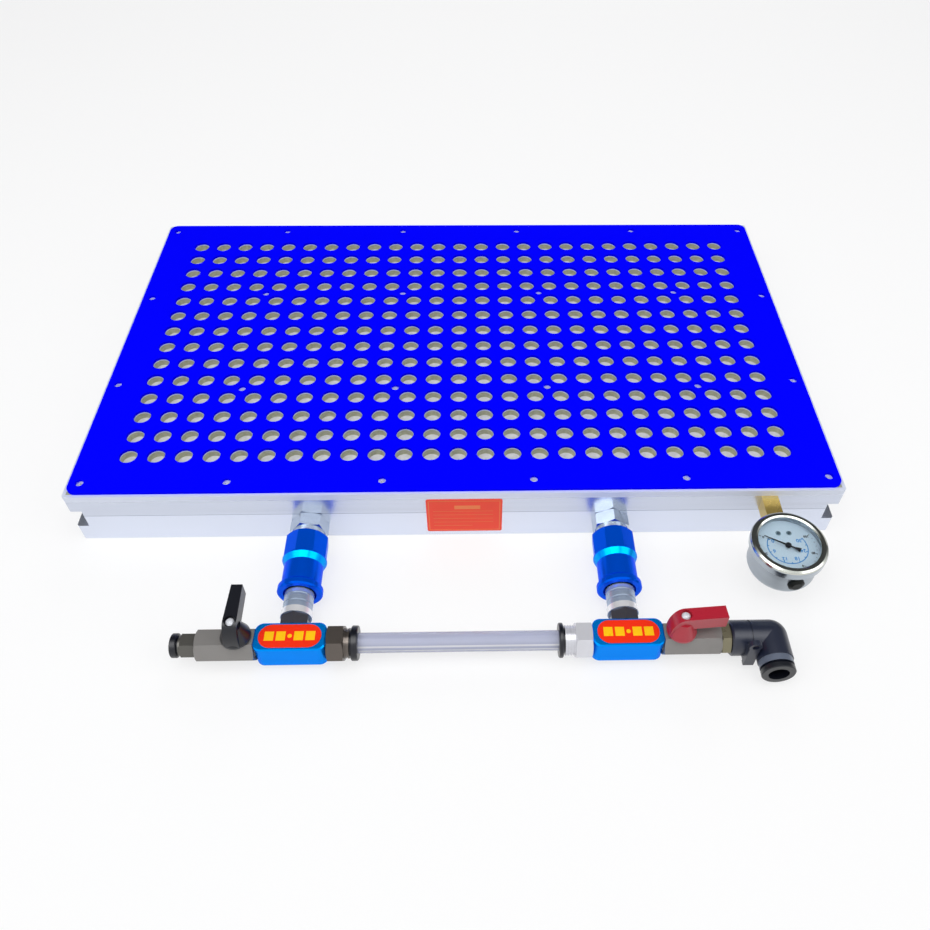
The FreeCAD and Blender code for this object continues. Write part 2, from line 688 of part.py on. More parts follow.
def coupler(side, hex_turn, grip_turn):
    """A quick coupler: socket, seal ring, locking balls, stop ring, spring, sleeve and plug."""
    port = (f"{side}_port_place", FRONT, "port_height")
    nose = half("coupler_nose_diameter")
    pocket = f"{half('plug_nose_diameter')} + fit_gap"
    ring_start = "(ball_place + lock_land_length / 2 + 2 * running_gap)"
    ring_end = f"({ring_start} + stop_ring_thickness)"
    ring_floor = f"{nose} - stop_ring_groove_depth"
    seal_end = "(seal_ring_start + seal_ring_section + 0.2)"
    seal_room = f"{half('plug_nose_diameter')} + seal_ring_section + fit_gap"
    shell = on_hex_bar(
        f"{side}_socket_turning",
        [
            (half("passage_diameter"), "-port_tail_length"),
            (half("tail_diameter"), "-port_tail_length"),
            (half("tail_diameter"), "0"),
            *hex_corners("coupler_hex_flats", "0", "coupler_hex_length"),
            (half("coupler_shoulder_diameter"), "coupler_hex_length"),
            (half("coupler_shoulder_diameter"), "coupler_shoulder_end"),
            (half("coupler_barrel_diameter"), "coupler_shoulder_end"),
            (half("coupler_barrel_diameter"), "coupler_barrel_end"),
            (nose, "coupler_barrel_end"),
            (nose, ring_start),
            (ring_floor, ring_start),
            (ring_floor, ring_end),
            (nose, ring_end),
            (nose, "coupler_nose_end"),
            (pocket, "coupler_nose_end"),
            (pocket, seal_end),
            (seal_room, seal_end),
            (seal_room, "seal_ring_start"),
            (pocket, "seal_ring_start"),
            (pocket, "plug_pocket_start"),
            (half("passage_diameter"), "plug_pocket_start"),
        ],
        "coupler_hex_flats",
        "port_tail_length + coupler_nose_end + 2",
        "-port_tail_length - 1",
        hex_turn,
    )
    ball_centre = f"({half('plug_nose_diameter')} - ball_reach + ball_diameter / 2)"
    drills, balls = [], []
    for number in range(int(sheet.balls_per_coupler)):
        angle = 360 * number / int(sheet.balls_per_coupler)
        around = FreeCAD.Rotation(FreeCAD.Vector(0, 0, 1), angle)
        drill = cylinder(f"{side}_ball_drill", "ball_diameter + 2 * ball_gap", "coupler_nose_diameter")
        drill.Placement = FreeCAD.Placement(
            FreeCAD.Vector(), around * FreeCAD.Rotation(FreeCAD.Vector(0, 1, 0), 90)
        )
        bind(drill, {"Placement.Base.z": "ball_place"})
        drills.append(drill)
        ball = add("Sphere", f"{side}_ball", {
            "Radius": half("ball_diameter"),
            "Placement.Base.x": f"{ball_centre} * cos({angle})",
            "Placement.Base.y": f"{ball_centre} * sin({angle})",
            "Placement.Base.z": "ball_place",
        })
        balls.append(ball)
    socket = cut(f"{side}_coupler_socket", shell, group(f"{side}_ball_drills", *drills))
    keep(f"{side}_coupler_socket", place(socket, "out", *port))
    keep(f"{side}_locking_balls", place(group(f"{side}_locking_balls", *balls), "out", *port))

    seal = add("Torus", f"{side}_coupler_seal", {
        "Radius1": f"{half('plug_nose_diameter')} + seal_ring_section / 2 + fit_gap / 2",
        "Radius2": half("seal_ring_section"),
    })
    seal_place = f"{FRONT} - seal_ring_start - seal_ring_section / 2 - 0.1"
    keep(f"{side}_coupler_seal", place(seal, "out", port[0], seal_place, port[2]))

    stop_outer = f"{half('release_recess_diameter')} - 2 * running_gap"
    stop_ring = turned(f"{side}_stop_ring", [
        (ring_floor, ring_start), (stop_outer, ring_start), (stop_outer, ring_end), (ring_floor, ring_end),
    ])
    keep(f"{side}_stop_ring", place(stop_ring, "out", *port))

    rear = half("sleeve_rear_diameter")
    waist = half("sleeve_waist_diameter")
    flange = half("sleeve_flange_diameter")
    grip = common(
        f"{side}_sleeve_grip",
        turned(f"{side}_sleeve_blank", [
            ("0", "sleeve_start"),
            (f"{rear} - 2 * sleeve_edge", "sleeve_start"),
            (rear, "sleeve_start + 1.5 * sleeve_edge"),
            (rear, "sleeve_rear_end"),
            ("0", "sleeve_rear_end"),
        ]),
        prism(
            f"{side}_sleeve_flats", "sleeve_flats", "sleeve_sides", "sleeve_end", "sleeve_start - 1",
            grip_turn,
        ),
    )
    waist_and_rim = turned(f"{side}_sleeve_waist", [
        ("0", "sleeve_grip_end"),
        (rear, "sleeve_grip_end"),
        (rear, "sleeve_rear_end"),
        (waist, "sleeve_waist_start"),
        (waist, "sleeve_flange_start"),
        (flange, "sleeve_flange_start + 2 * sleeve_edge"),
        (flange, "sleeve_end - sleeve_edge"),
        (f"{flange} - sleeve_edge", "sleeve_end"),
        ("0", "sleeve_end"),
    ])
    lip = f"{half('coupler_shoulder_diameter')} + running_gap"
    room = half("spring_room_diameter")
    guide = f"{half('coupler_barrel_diameter')} + 2 * running_gap"
    land = f"{ball_centre} + {half('ball_diameter')} + running_gap"
    recess = half("release_recess_diameter")
    hollow = turned(f"{side}_sleeve_hollow", [
        ("0", "sleeve_start - 1"),
        (lip, "sleeve_start - 1"),
        (lip, "sleeve_start + sleeve_lip_length"),
        (room, "sleeve_start + sleeve_lip_length"),
        (room, "sleeve_rear_end"),
        (guide, "sleeve_rear_end"),
        (guide, "ball_place - lock_land_length / 2"),
        (land, "ball_place - lock_land_length / 2"),
        (land, "ball_place + lock_land_length / 2"),
        (recess, "ball_place + lock_land_length / 2"),
        (recess, "sleeve_end + 1"),
        ("0", "sleeve_end + 1"),
    ])
    sleeve = cut(f"{side}_coupler_sleeve", fuse(f"{side}_sleeve_outside", grip, waist_and_rim), hollow)
    keep(f"{side}_coupler_sleeve", place(sleeve, "out", *port))

    wire_start = "coupler_shoulder_end + spring_wire / 2 + fit_gap"
    coil_height = "(sleeve_rear_end - coupler_shoulder_end - spring_wire - 2 * fit_gap)"
    coil_radius = f"({room} + {half('coupler_barrel_diameter')}) / 2"
    coil = add("Helix", f"{side}_spring_path", {
        "Radius": coil_radius,
        "Height": coil_height,
        "Pitch": f"{coil_height} / spring_turns",
        "Placement.Base.z": wire_start,
    })
    wire = add("Circle", f"{side}_spring_section", {"Radius": half("spring_wire")})
    wire.Placement = FreeCAD.Placement(FreeCAD.Vector(), FreeCAD.Rotation(FreeCAD.Vector(1, 0, 0), 90))
    bind(wire, {"Placement.Base.x": coil_radius, "Placement.Base.z": wire_start})
    spring = doc.addObject("Part::Sweep", f"{side}_sleeve_spring")
    spring.Sections = [wire]
    doc.recompute([coil, wire])
    spring.Spine = (coil, ["Edge1"])
    spring.Solid = True
    spring.Frenet = True
    keep(f"{side}_sleeve_spring", place(spring, "out", *port))

    plug_nose = half("plug_nose_diameter")
    groove = f"{plug_nose} - ball_reach - ball_gap"
    ring = half("plug_ring_diameter")
    rib_floor = f"{ring} - plug_rib_depth"
    collar = half("plug_collar_diameter")
    collar_start = "(plug_hex_start - plug_collar_length)"
    rib_corners = []
    for share in (0.3, 0.7):
        middle = f"(plug_ring_start + {share} * ({collar_start} - plug_ring_start))"
        rib_corners += [
            (ring, f"{middle} - 2 * plug_rib_depth"),
            (rib_floor, f"{middle} - plug_rib_depth"),
            (rib_floor, f"{middle} + plug_rib_depth"),
            (ring, f"{middle} + 2 * plug_rib_depth"),
        ]
    block_face = f"(manifold_offset - {half('block_section')})"
    core = turned(f"{side}_plug_turning", [
        ("0", "plug_nose_start"),
        (f"{plug_nose} - 0.6", "plug_nose_start"),
        (plug_nose, "plug_nose_start + 0.8"),
        (plug_nose, "ball_place - ball_diameter * 0.6"),
        (groove, "ball_place - ball_diameter * 0.32"),
        (groove, "ball_place + ball_diameter * 0.32"),
        (plug_nose, "ball_place + ball_diameter * 0.6"),
        (plug_nose, "plug_ring_start"),
        (ring, "plug_ring_start"),
        *rib_corners,
        (ring, f"{collar_start}"),
        (collar, f"{collar_start} + plug_rib_depth"),
        (collar, "plug_hex_start"),
        (half("tail_diameter"), "plug_hex_start"),
        (half("tail_diameter"), f"{block_face} + block_tail_length"),
        ("0", f"{block_face} + block_tail_length"),
    ])
    nut = prism(f"{side}_plug_hex", "plug_hex_flats", "6", f"{block_face} - plug_hex_start", "plug_hex_start", 30)
    passage = cylinder(f"{side}_plug_passage", "passage_diameter", "2 * manifold_offset")
    plug = cut(f"{side}_coupler_plug", fuse(f"{side}_plug_outside", core, nut), passage)
    keep(f"{side}_coupler_plug", place(plug, "out", *port))


def manifold_block(side):
    """A three-way block with its oval label."""
    middle = f"{side}_port_place"
    body = doc.addObject("PartDesign::Body", f"{side}_block_bar")
    bar = body.newObject("PartDesign::AdditiveBox", f"{side}_block_stock")
    bind(bar, {"Length": "block_length", "Width": "block_section", "Height": "block_section"})
    doc.recompute()
    upright = [
        f"Edge{number}"
        for number, edge in enumerate(bar.Shape.Edges, start=1)
        if abs(edge.tangentAt(edge.FirstParameter).z) > 0.9
    ]
    rounding = body.newObject("PartDesign::Fillet", f"{side}_block_rounding")
    rounding.Base = (bar, upright)
    bind(rounding, {"Radius": "block_corner_radius"})
    doc.recompute()
    flat_faces = [
        f"Face{number}"
        for number, face in enumerate(rounding.Shape.Faces, start=1)
        if abs(face.normalAt(0, 0).z) > 0.9
    ]
    easing = body.newObject("PartDesign::Chamfer", f"{side}_block_easing")
    easing.Base = (rounding, flat_faces)
    bind(easing, {"Size": "block_edge"})
    bind(body, {
        "Placement.Base.x": f"{middle} - block_length / 2",
        "Placement.Base.y": f"{MANIFOLD} - block_section / 2",
        "Placement.Base.z": "port_height - block_section / 2",
    })
    tap = "tail_diameter + 2 * thread_gap"
    tap_depth = "block_tail_length + thread_gap"
    bores = [
        place(cylinder(f"{side}_block_passage", "passage_diameter", "block_length"),
              "right", f"{middle} - block_length / 2", MANIFOLD, "port_height"),
        place(cylinder(f"{side}_block_rear_passage", "passage_diameter", "block_section / 2"),
              "out", middle, f"{MANIFOLD} + block_section / 2", "port_height"),
        place(cylinder(f"{side}_block_rear_tap", tap, tap_depth),
              "out", middle, f"{MANIFOLD} + block_section / 2", "port_height"),
        place(cylinder(f"{side}_block_low_tap", tap, tap_depth),
              "right", f"{middle} - block_length / 2", MANIFOLD, "port_height"),
        place(cylinder(f"{side}_block_high_tap", tap, tap_depth),
              "left", f"{middle} + block_length / 2", MANIFOLD, "port_height"),
    ]
    drilled = cut(f"{side}_manifold_block", body, group(f"{side}_block_bores", *bores))
    keep(f"{side}_manifold_block", drilled)

    label_low = f"port_height + {half('block_section')}"
    straight = "(block_label_length - block_label_width)"
    band = block(
        f"{side}_label_band",
        (straight, "block_label_width", "label_thickness"),
        (f"{middle} - {straight} / 2", f"{MANIFOLD} - block_label_width / 2", label_low),
    )
    ends = []
    for way in (-1, 1):
        end = cylinder(f"{side}_label_end", "block_label_width", "label_thickness")
        ends.append(place(end, "up", f"{middle} + {way} * {straight} / 2", MANIFOLD, label_low))
    keep(f"{side}_block_label", fuse(f"{side}_block_label", band, *ends))


def release_collar(name, tube, outer, start, end, thickness):
    """A collar that is pushed in to free a tube: a neck inside the fitting and a flange outside."""
    inner = f"{half(tube)} + 2 * tube_gap"
    neck = f"{half(tube)} + collar_neck_wall"
    rim = half(outer)
    return turned(name, [
        (inner, start),
        (neck, start),
        (neck, end),
        (f"{rim} - collar_edge", end),
        (rim, f"{end} + collar_edge"),
        (rim, f"{end} + {thickness} - collar_edge"),
        (f"{rim} - collar_edge", f"{end} + {thickness}"),
        (inner, f"{end} + {thickness}"),
    ])


def tube_fitting(side, inward):
    """The push-in fitting between a block and the clear tube, with its release collar."""
    start = f"{side}_port_place + {inward} * block_length / 2"
    neck_end = f"(fitting_hex_length + {side}_neck_length)"
    neck = half("fitting_neck_diameter")
    seat = f"{half('tube_diameter')} + tube_gap"
    pocket = f"{half('tube_diameter')} + collar_neck_wall + fit_gap"
    rib_count = {"left": 1, "right": 3}[side]
    body = on_hex_bar(
        f"{side}_tube_fitting",
        [
            (half("passage_diameter"), "-block_tail_length"),
            (half("tail_diameter"), "-block_tail_length"),
            (half("tail_diameter"), "0"),
            *hex_corners("fitting_hex_flats", "0", "fitting_hex_length"),
            (neck, "fitting_hex_length"),
            *ribs(neck, "fitting_hex_length", neck_end, rib_count),
            (neck, neck_end),
            (pocket, neck_end),
            (pocket, "fitting_pocket_start"),
            (seat, "fitting_pocket_start"),
            (seat, "tube_stop"),
            (half("passage_diameter"), "tube_stop"),
        ],
        "fitting_hex_flats",
        f"block_tail_length + {neck_end} + 2",
        "-block_tail_length - 1",
    )
    towards = {1: "right", -1: "left"}[inward]
    keep(f"{side}_tube_fitting", place(body, towards, start, MANIFOLD, "port_height"))
    collar = release_collar(
        f"{side}_tube_collar", "tube_diameter", "collar_flange_diameter",
        "fitting_pocket_start + collar_gap", f"{neck_end} + collar_gap", f"{side}_collar_thickness",
    )
    keep(f"{side}_tube_collar", place(collar, towards, start, MANIFOLD, "port_height"))


def clear_tube():
    """The straight clear tube between the two push-in fittings."""
    left_end = "(left_port_place + block_length / 2 + tube_stop)"
    right_end = "(right_port_place - block_length / 2 - tube_stop)"
    tube = turned("clear_tube", [
        (half("tube_bore"), "0"),
        (half("tube_diameter"), "0"),
        (half("tube_diameter"), f"{right_end} - {left_end}"),
        (half("tube_bore"), f"{right_end} - {left_end}"),
    ])
    keep("clear_tube", place(tube, "right", left_end, MANIFOLD, "port_height"))


def ball_valve(side, outward, pipe_angle, lever_angle):
    """A mini ball valve: body, seats, end insert, ball, stem, lever and lever screw."""
    towards = {1: "right", -1: "left"}[outward]
    start = f"({side}_port_place + {outward} * block_length / 2)"
    pivot = f"({start} + {outward} * valve_ball_place)"
    tap = f"{half('tail_diameter')} + thread_gap"
    length = "valve_length"
    shell = on_hex_bar(
        f"{side}_valve_turning",
        [
            (half("passage_diameter"), "-block_tail_length"),
            (half("tail_diameter"), "-block_tail_length"),
            (half("tail_diameter"), "0"),
            *hex_corners("valve_flats", "0", length, "hex_chamfer / 2", "hex_chamfer * 1.6"),
            (tap, length),
            (tap, "seat_room_start"),
            (half("passage_diameter"), "seat_room_start"),
        ],
        "valve_flats",
        "block_tail_length + valve_length + 2",
        "-block_tail_length - 1",
    )
    place(shell, towards, start, MANIFOLD, "port_height")
    stem_hole = cylinder(f"{side}_stem_hole", "stem_diameter + 2 * running_gap", "valve_flats")
    place(stem_hole, "up", pivot, MANIFOLD, "port_height")
    keep(f"{side}_valve_body", cut(f"{side}_valve_body", shell, stem_hole))

    reach = "(valve_ball_diameter / 2 + seat_gap)"
    inner = half("seat_bore")
    outer = half("seat_outer_reach")
    near_inner = f"sqrt({reach} * {reach} - {inner} * {inner})"
    near_outer = f"sqrt({reach} * {reach} - {outer} * {outer})"
    seats = []
    for end, wall in (("-", "seat_room_start"), ("+", "insert_start")):
        seats.append(turned(f"{side}_seat", [
            (inner, wall),
            (half("tail_diameter"), wall),
            (half("tail_diameter"), f"valve_ball_place {end} {near_outer}"),
            (outer, f"valve_ball_place {end} {near_outer}"),
            (inner, f"valve_ball_place {end} {near_inner}"),
        ]))
    both = place(group(f"{side}_ball_seats", *seats), towards, start, MANIFOLD, "port_height")
    keep(f"{side}_ball_seats", both)

    small_tap = f"{half('small_tail_diameter')} + thread_gap"
    tap_start = f"({length} - small_tail_length - thread_gap)"
    insert = turned(f"{side}_end_insert", [
        (half("small_passage_diameter"), "insert_start"),
        (half("tail_diameter"), "insert_start"),
        (half("tail_diameter"), length),
        (small_tap, length),
        (small_tap, tap_start),
        (half("small_passage_diameter"), tap_start),
    ])
    keep(f"{side}_end_insert", place(insert, towards, start, MANIFOLD, "port_height"))

    slot_floor = f"({half('valve_ball_diameter')} - ball_slot_depth)"
    slot_width = "(stem_tongue_width + 2 * stem_tongue_gap)"
    sphere = add("Sphere", f"{side}_ball_blank", {"Radius": half("valve_ball_diameter")})
    bore = cylinder(f"{side}_ball_bore", "valve_ball_bore", "2 * valve_ball_diameter")
    bore.Placement = FreeCAD.Placement(
        FreeCAD.Vector(), FreeCAD.Rotation(FreeCAD.Vector(0, 0, 1), pipe_angle) * TURNS["right"]
    )
    across = math.radians(pipe_angle)
    bind(bore, {
        "Placement.Base.x": f"-valve_ball_diameter * {round(math.cos(across))}",
        "Placement.Base.y": f"-valve_ball_diameter * {round(math.sin(across))}",
    })
    slot = block(
        f"{side}_ball_slot",
        (slot_width, "2 * valve_ball_diameter", "valve_ball_diameter"),
        (f"-{slot_width} / 2", "-valve_ball_diameter", slot_floor),
    )
    ball = cut(f"{side}_valve_ball", sphere, group(f"{side}_ball_cuts", bore, slot))
    keep(f"{side}_valve_ball", place(ball, "up", pivot, MANIFOLD, "port_height"))

    stem_top = "(lever_top - lever_recess_depth - lever_roof - port_height)"
    rod = cylinder(
        f"{side}_stem_rod", "stem_diameter",
        f"{stem_top} - {half('valve_ball_diameter')} - fit_gap", f"{half('valve_ball_diameter')} + fit_gap",
    )
    tongue = block(
        f"{side}_stem_tongue",
        ("stem_tongue_width", "stem_diameter * 0.8", "ball_slot_depth"),
        ("-stem_tongue_width / 2", "-stem_diameter * 0.4", f"{slot_floor} + fit_gap"),
    )
    screw_hole = cylinder(
        f"{side}_stem_screw_hole", "lever_screw_diameter + 2 * thread_gap", "lever_screw_length",
        f"{stem_top} + lever_roof - lever_screw_length",
    )
    stem = cut(f"{side}_valve_stem", fuse(f"{side}_stem_outside", rod, tongue), screw_hole)
    keep(f"{side}_valve_stem", place(stem, "up", pivot, MANIFOLD, "port_height"))
    lever(side, pivot, lever_angle)


def lever(side, pivot, angle):
    """The moulded lever on the stem and the screw that holds it down."""
    foot_low = "(port_height + valve_flats / 2 + lever_foot_gap)"
    foot_top = f"({foot_low} + lever_foot_height)"
    foot = half("lever_foot_diameter")
    cone = half("lever_cone_diameter")
    hub = turned(f"{side}_lever_hub", [
        ("0", foot_low),
        (f"{foot} - 0.6", foot_low),
        (foot, f"{foot_low} + 0.6"),
        (foot, foot_top),
        (cone, "lever_cone_top"),
        ("0", "lever_cone_top"),
    ])
    wide, tip = half("lever_width"), half(f"{side}_lever_tip_width")
    arm = padded(f"{side}_lever_arm", [
        ("0", f"-{wide}"), ("lever_reach", f"-{tip}"), ("lever_reach", tip), ("0", wide),
    ], "lever_height")
    bind(arm, {"Placement.Base.z": "lever_top - lever_height"})
    oval = add("Ellipse", f"{side}_nose_oval", {
        "MajorRadius": f"lever_top - {foot_top}", "MinorRadius": "lever_nose",
    })
    oval.Placement = FreeCAD.Placement(
        FreeCAD.Vector(), TURNS["out"] * FreeCAD.Rotation(FreeCAD.Vector(0, 0, 1), 90)
    )
    bind(oval, {"Placement.Base.y": "lever_width / 2", "Placement.Base.z": foot_top})
    drum = doc.addObject("Part::Extrusion", f"{side}_nose_drum")
    drum.Base = oval
    drum.DirMode = "Custom"
    drum.Dir = FreeCAD.Vector(0, -1, 0)
    drum.Solid = True
    bind(drum, {"LengthFwd": "lever_width"})
    rear = block(
        f"{side}_nose_room",
        ("lever_nose + 1", "lever_width", f"lever_top - {foot_top}"),
        ("-lever_nose - 1", "-lever_width / 2", foot_top),
    )
    nose = common(f"{side}_lever_nose", drum, rear)
    recess_floor = "(lever_top - lever_recess_depth)"
    stem_hole = cylinder(
        f"{side}_lever_stem_hole", "stem_diameter + 2 * fit_gap",
        f"{recess_floor} - lever_roof - {foot_low} + 1", f"{foot_low} - 1",
    )
    recess = cylinder(
        f"{side}_lever_recess", "lever_recess_diameter", "2 * lever_recess_depth", recess_floor
    )
    screw_hole = cylinder(
        f"{side}_lever_screw_hole", "lever_screw_diameter + 2 * fit_gap", "2 * lever_roof",
        f"{recess_floor} - 1.5 * lever_roof",
    )
    outside = fuse(f"{side}_lever_outside", hub, arm, nose)
    handle = cut(
        f"{side}_valve_lever", outside, group(f"{side}_lever_holes", stem_hole, recess, screw_hole)
    )
    handle.Placement = FreeCAD.Placement(
        FreeCAD.Vector(), FreeCAD.Rotation(FreeCAD.Vector(0, 0, 1), angle)
    )
    bind(handle, {"Placement.Base.x": pivot, "Placement.Base.y": MANIFOLD})
    keep(f"{side}_valve_lever", handle)

    shank, head = half("lever_screw_diameter"), half("lever_screw_head")
    screw_low = f"({recess_floor} - lever_screw_length + fit_gap)"
    screw = turned(f"{side}_lever_screw", [
        ("0", screw_low),
        (shank, screw_low),
        (shank, recess_floor),
        (head, recess_floor),
        (head, f"{recess_floor} + 0.35 * lever_recess_depth"),
        (f"0.7 * {head}", f"{recess_floor} + 0.72 * lever_recess_depth"),
        ("0", f"{recess_floor} + 0.85 * lever_recess_depth"),
    ])
    keep(f"{side}_lever_screw", place(screw, "up", pivot, MANIFOLD, "0"))


def drain_fitting():
    """The straight push-in fitting on the end of the left valve."""
    start = "(left_port_place - block_length / 2 - valve_length)"
    seat = f"{half('drain_tube')} + tube_gap"
    pocket = f"{half('drain_tube')} + collar_neck_wall + fit_gap"
    ring = half("drain_ring_diameter")
    body = on_hex_bar(
        "drain_fitting",
        [
            (half("small_passage_diameter"), "-small_tail_length"),
            (half("small_tail_diameter"), "-small_tail_length"),
            (half("small_tail_diameter"), "0"),
            *hex_corners("drain_flats", "0", "drain_hex_length"),
            (ring, "drain_hex_length"),
            (ring, "drain_end"),
            (pocket, "drain_end"),
            (pocket, "drain_pocket_start"),
            (seat, "drain_pocket_start"),
            (seat, "drain_pocket_start / 2"),
            (half("small_passage_diameter"), "drain_pocket_start / 2"),
        ],
        "drain_flats",
        "small_tail_length + drain_end + 2",
        "-small_tail_length - 1",
    )
    keep("drain_fitting", place(body, "left", start, MANIFOLD, "port_height"))
    collar = release_collar(
        "drain_collar", "drain_tube", "drain_flange_diameter",
        "drain_pocket_start + collar_gap", "drain_end + collar_gap", "drain_flange_thickness",
    )
    keep("drain_collar", place(collar, "left", start, MANIFOLD, "port_height"))


def elbow():
    """The brass adapter, the moulded elbow that swivels on it and the elbow's release collar."""
    start = "(right_port_place + block_length / 2 + valve_length)"
    journal = half("adapter_journal_diameter")
    journal_end = "(adapter_hex_length + adapter_journal_length)"
    adapter = on_hex_bar(
        "elbow_adapter",
        [
            (half("small_passage_diameter"), "-small_tail_length"),
            (half("small_tail_diameter"), "-small_tail_length"),
            (half("small_tail_diameter"), "0"),
            *hex_corners("adapter_flats", "0", "adapter_hex_length", "hex_chamfer / 2", "hex_chamfer / 2"),
            (journal, "adapter_hex_length"),
            (journal, journal_end),
            (half("small_passage_diameter"), journal_end),
        ],
        "adapter_flats",
        "small_tail_length + adapter_hex_length + adapter_journal_length + 2",
        "-small_tail_length - 1",
    )
    keep("elbow_adapter", place(adapter, "right", start, MANIFOLD, "port_height"))

    outlet = f"({start} + elbow_run)"
    arm_start = "(adapter_hex_length + 0.4)"
    shell = half("elbow_diameter")
    arm = turned("elbow_arm", [
        ("0", arm_start),
        (f"{shell} - 1", arm_start),
        (shell, f"{arm_start} + 1"),
        (shell, "elbow_seam_place"),
        (f"{shell} - elbow_seam_step", "elbow_seam_place"),
        (f"{shell} - elbow_seam_step", "elbow_seam_place + 0.8"),
        (shell, "elbow_seam_place + 0.8"),
        (shell, "elbow_run"),
        ("0", "elbow_run"),
    ])
    place(arm, "right", start, MANIFOLD, "port_height")
    bend = add("Sphere", "elbow_bend", {"Radius": shell})
    place(bend, "up", outlet, MANIFOLD, "port_height")
    drop = turned("elbow_drop", [
        ("0", "0"),
        (shell, "0"),
        (shell, "elbow_drop - 4"),
        (f"{shell} - elbow_seam_step", "elbow_drop - 4"),
        (f"{shell} - elbow_seam_step", "elbow_drop"),
        ("0", "elbow_drop"),
    ])
    place(drop, "out", outlet, MANIFOLD, "port_height")
    lug_x = f"({start} + lug_place)"
    lug_y = f"({MANIFOLD} - {shell} - lug_thickness)"
    leg = block(
        "lug_leg",
        ("lug_width", "lug_thickness", "lug_drop + lug_rise"),
        (f"{lug_x} - lug_width / 2", lug_y, "port_height - lug_drop"),
    )
    root = block(
        "lug_root",
        ("lug_width", "lug_thickness + lug_root_depth", "lug_root_height"),
        (f"{lug_x} - lug_width / 2", lug_y, "port_height - lug_root_height / 2"),
    )
    eye_height = "port_height + lug_rise"
    ring = place(
        cylinder("lug_ring", "lug_eye_diameter", "lug_thickness"),
        "out", lug_x, f"{lug_y} + lug_thickness", eye_height,
    )
    outside = fuse("elbow_outside", arm, bend, drop, leg, root, ring)

    seat = f"{half('tube_diameter')} + tube_gap"
    pocket = f"{half('tube_diameter')} + collar_neck_wall + fit_gap"
    inlet = turned("elbow_inlet", [
        ("0", "0"),
        (f"{journal} + running_gap", "0"),
        (f"{journal} + running_gap", f"{journal_end} + 1"),
        (half("elbow_passage"), f"{journal_end} + 1"),
        (half("elbow_passage"), f"elbow_run + {half('elbow_passage')}"),
        ("0", f"elbow_run + {half('elbow_passage')}"),
    ])
    place(inlet, "right", start, MANIFOLD, "port_height")
    outlet_bore = turned("elbow_outlet", [
        ("0", "0"),
        (half("elbow_passage"), "0"),
        (half("elbow_passage"), "elbow_tube_seat"),
        (seat, "elbow_tube_seat"),
        (seat, "elbow_pocket_start"),
        (pocket, "elbow_pocket_start"),
        (pocket, "elbow_drop + 1"),
        ("0", "elbow_drop + 1"),
    ])
    place(outlet_bore, "out", outlet, MANIFOLD, "port_height")
    eye = place(
        cylinder("lug_eye", "lug_hole", "3 * lug_thickness"),
        "out", lug_x, f"{lug_y} + 2 * lug_thickness", eye_height,
    )
    body = cut("push_in_elbow", outside, group("elbow_hollows", inlet, outlet_bore, eye))
    keep("push_in_elbow", body)
    collar = release_collar(
        "elbow_collar", "tube_diameter", "elbow_flange_diameter",
        "elbow_pocket_start + collar_gap", "elbow_drop + collar_gap", "elbow_flange_thickness",
    )
    keep("elbow_collar", place(collar, "out", outlet, MANIFOLD, "port_height"))


def point_plug(thing, turn, centre):
    """Points an object out from the gauge's axis at the height of its port."""
    thing.Placement = FreeCAD.Placement(FreeCAD.Vector(), turn)
    bind(thing, {
        "Placement.Base.x": centre[0], "Placement.Base.y": centre[1], "Placement.Base.z": "gauge_port_height",
    })
    return thing


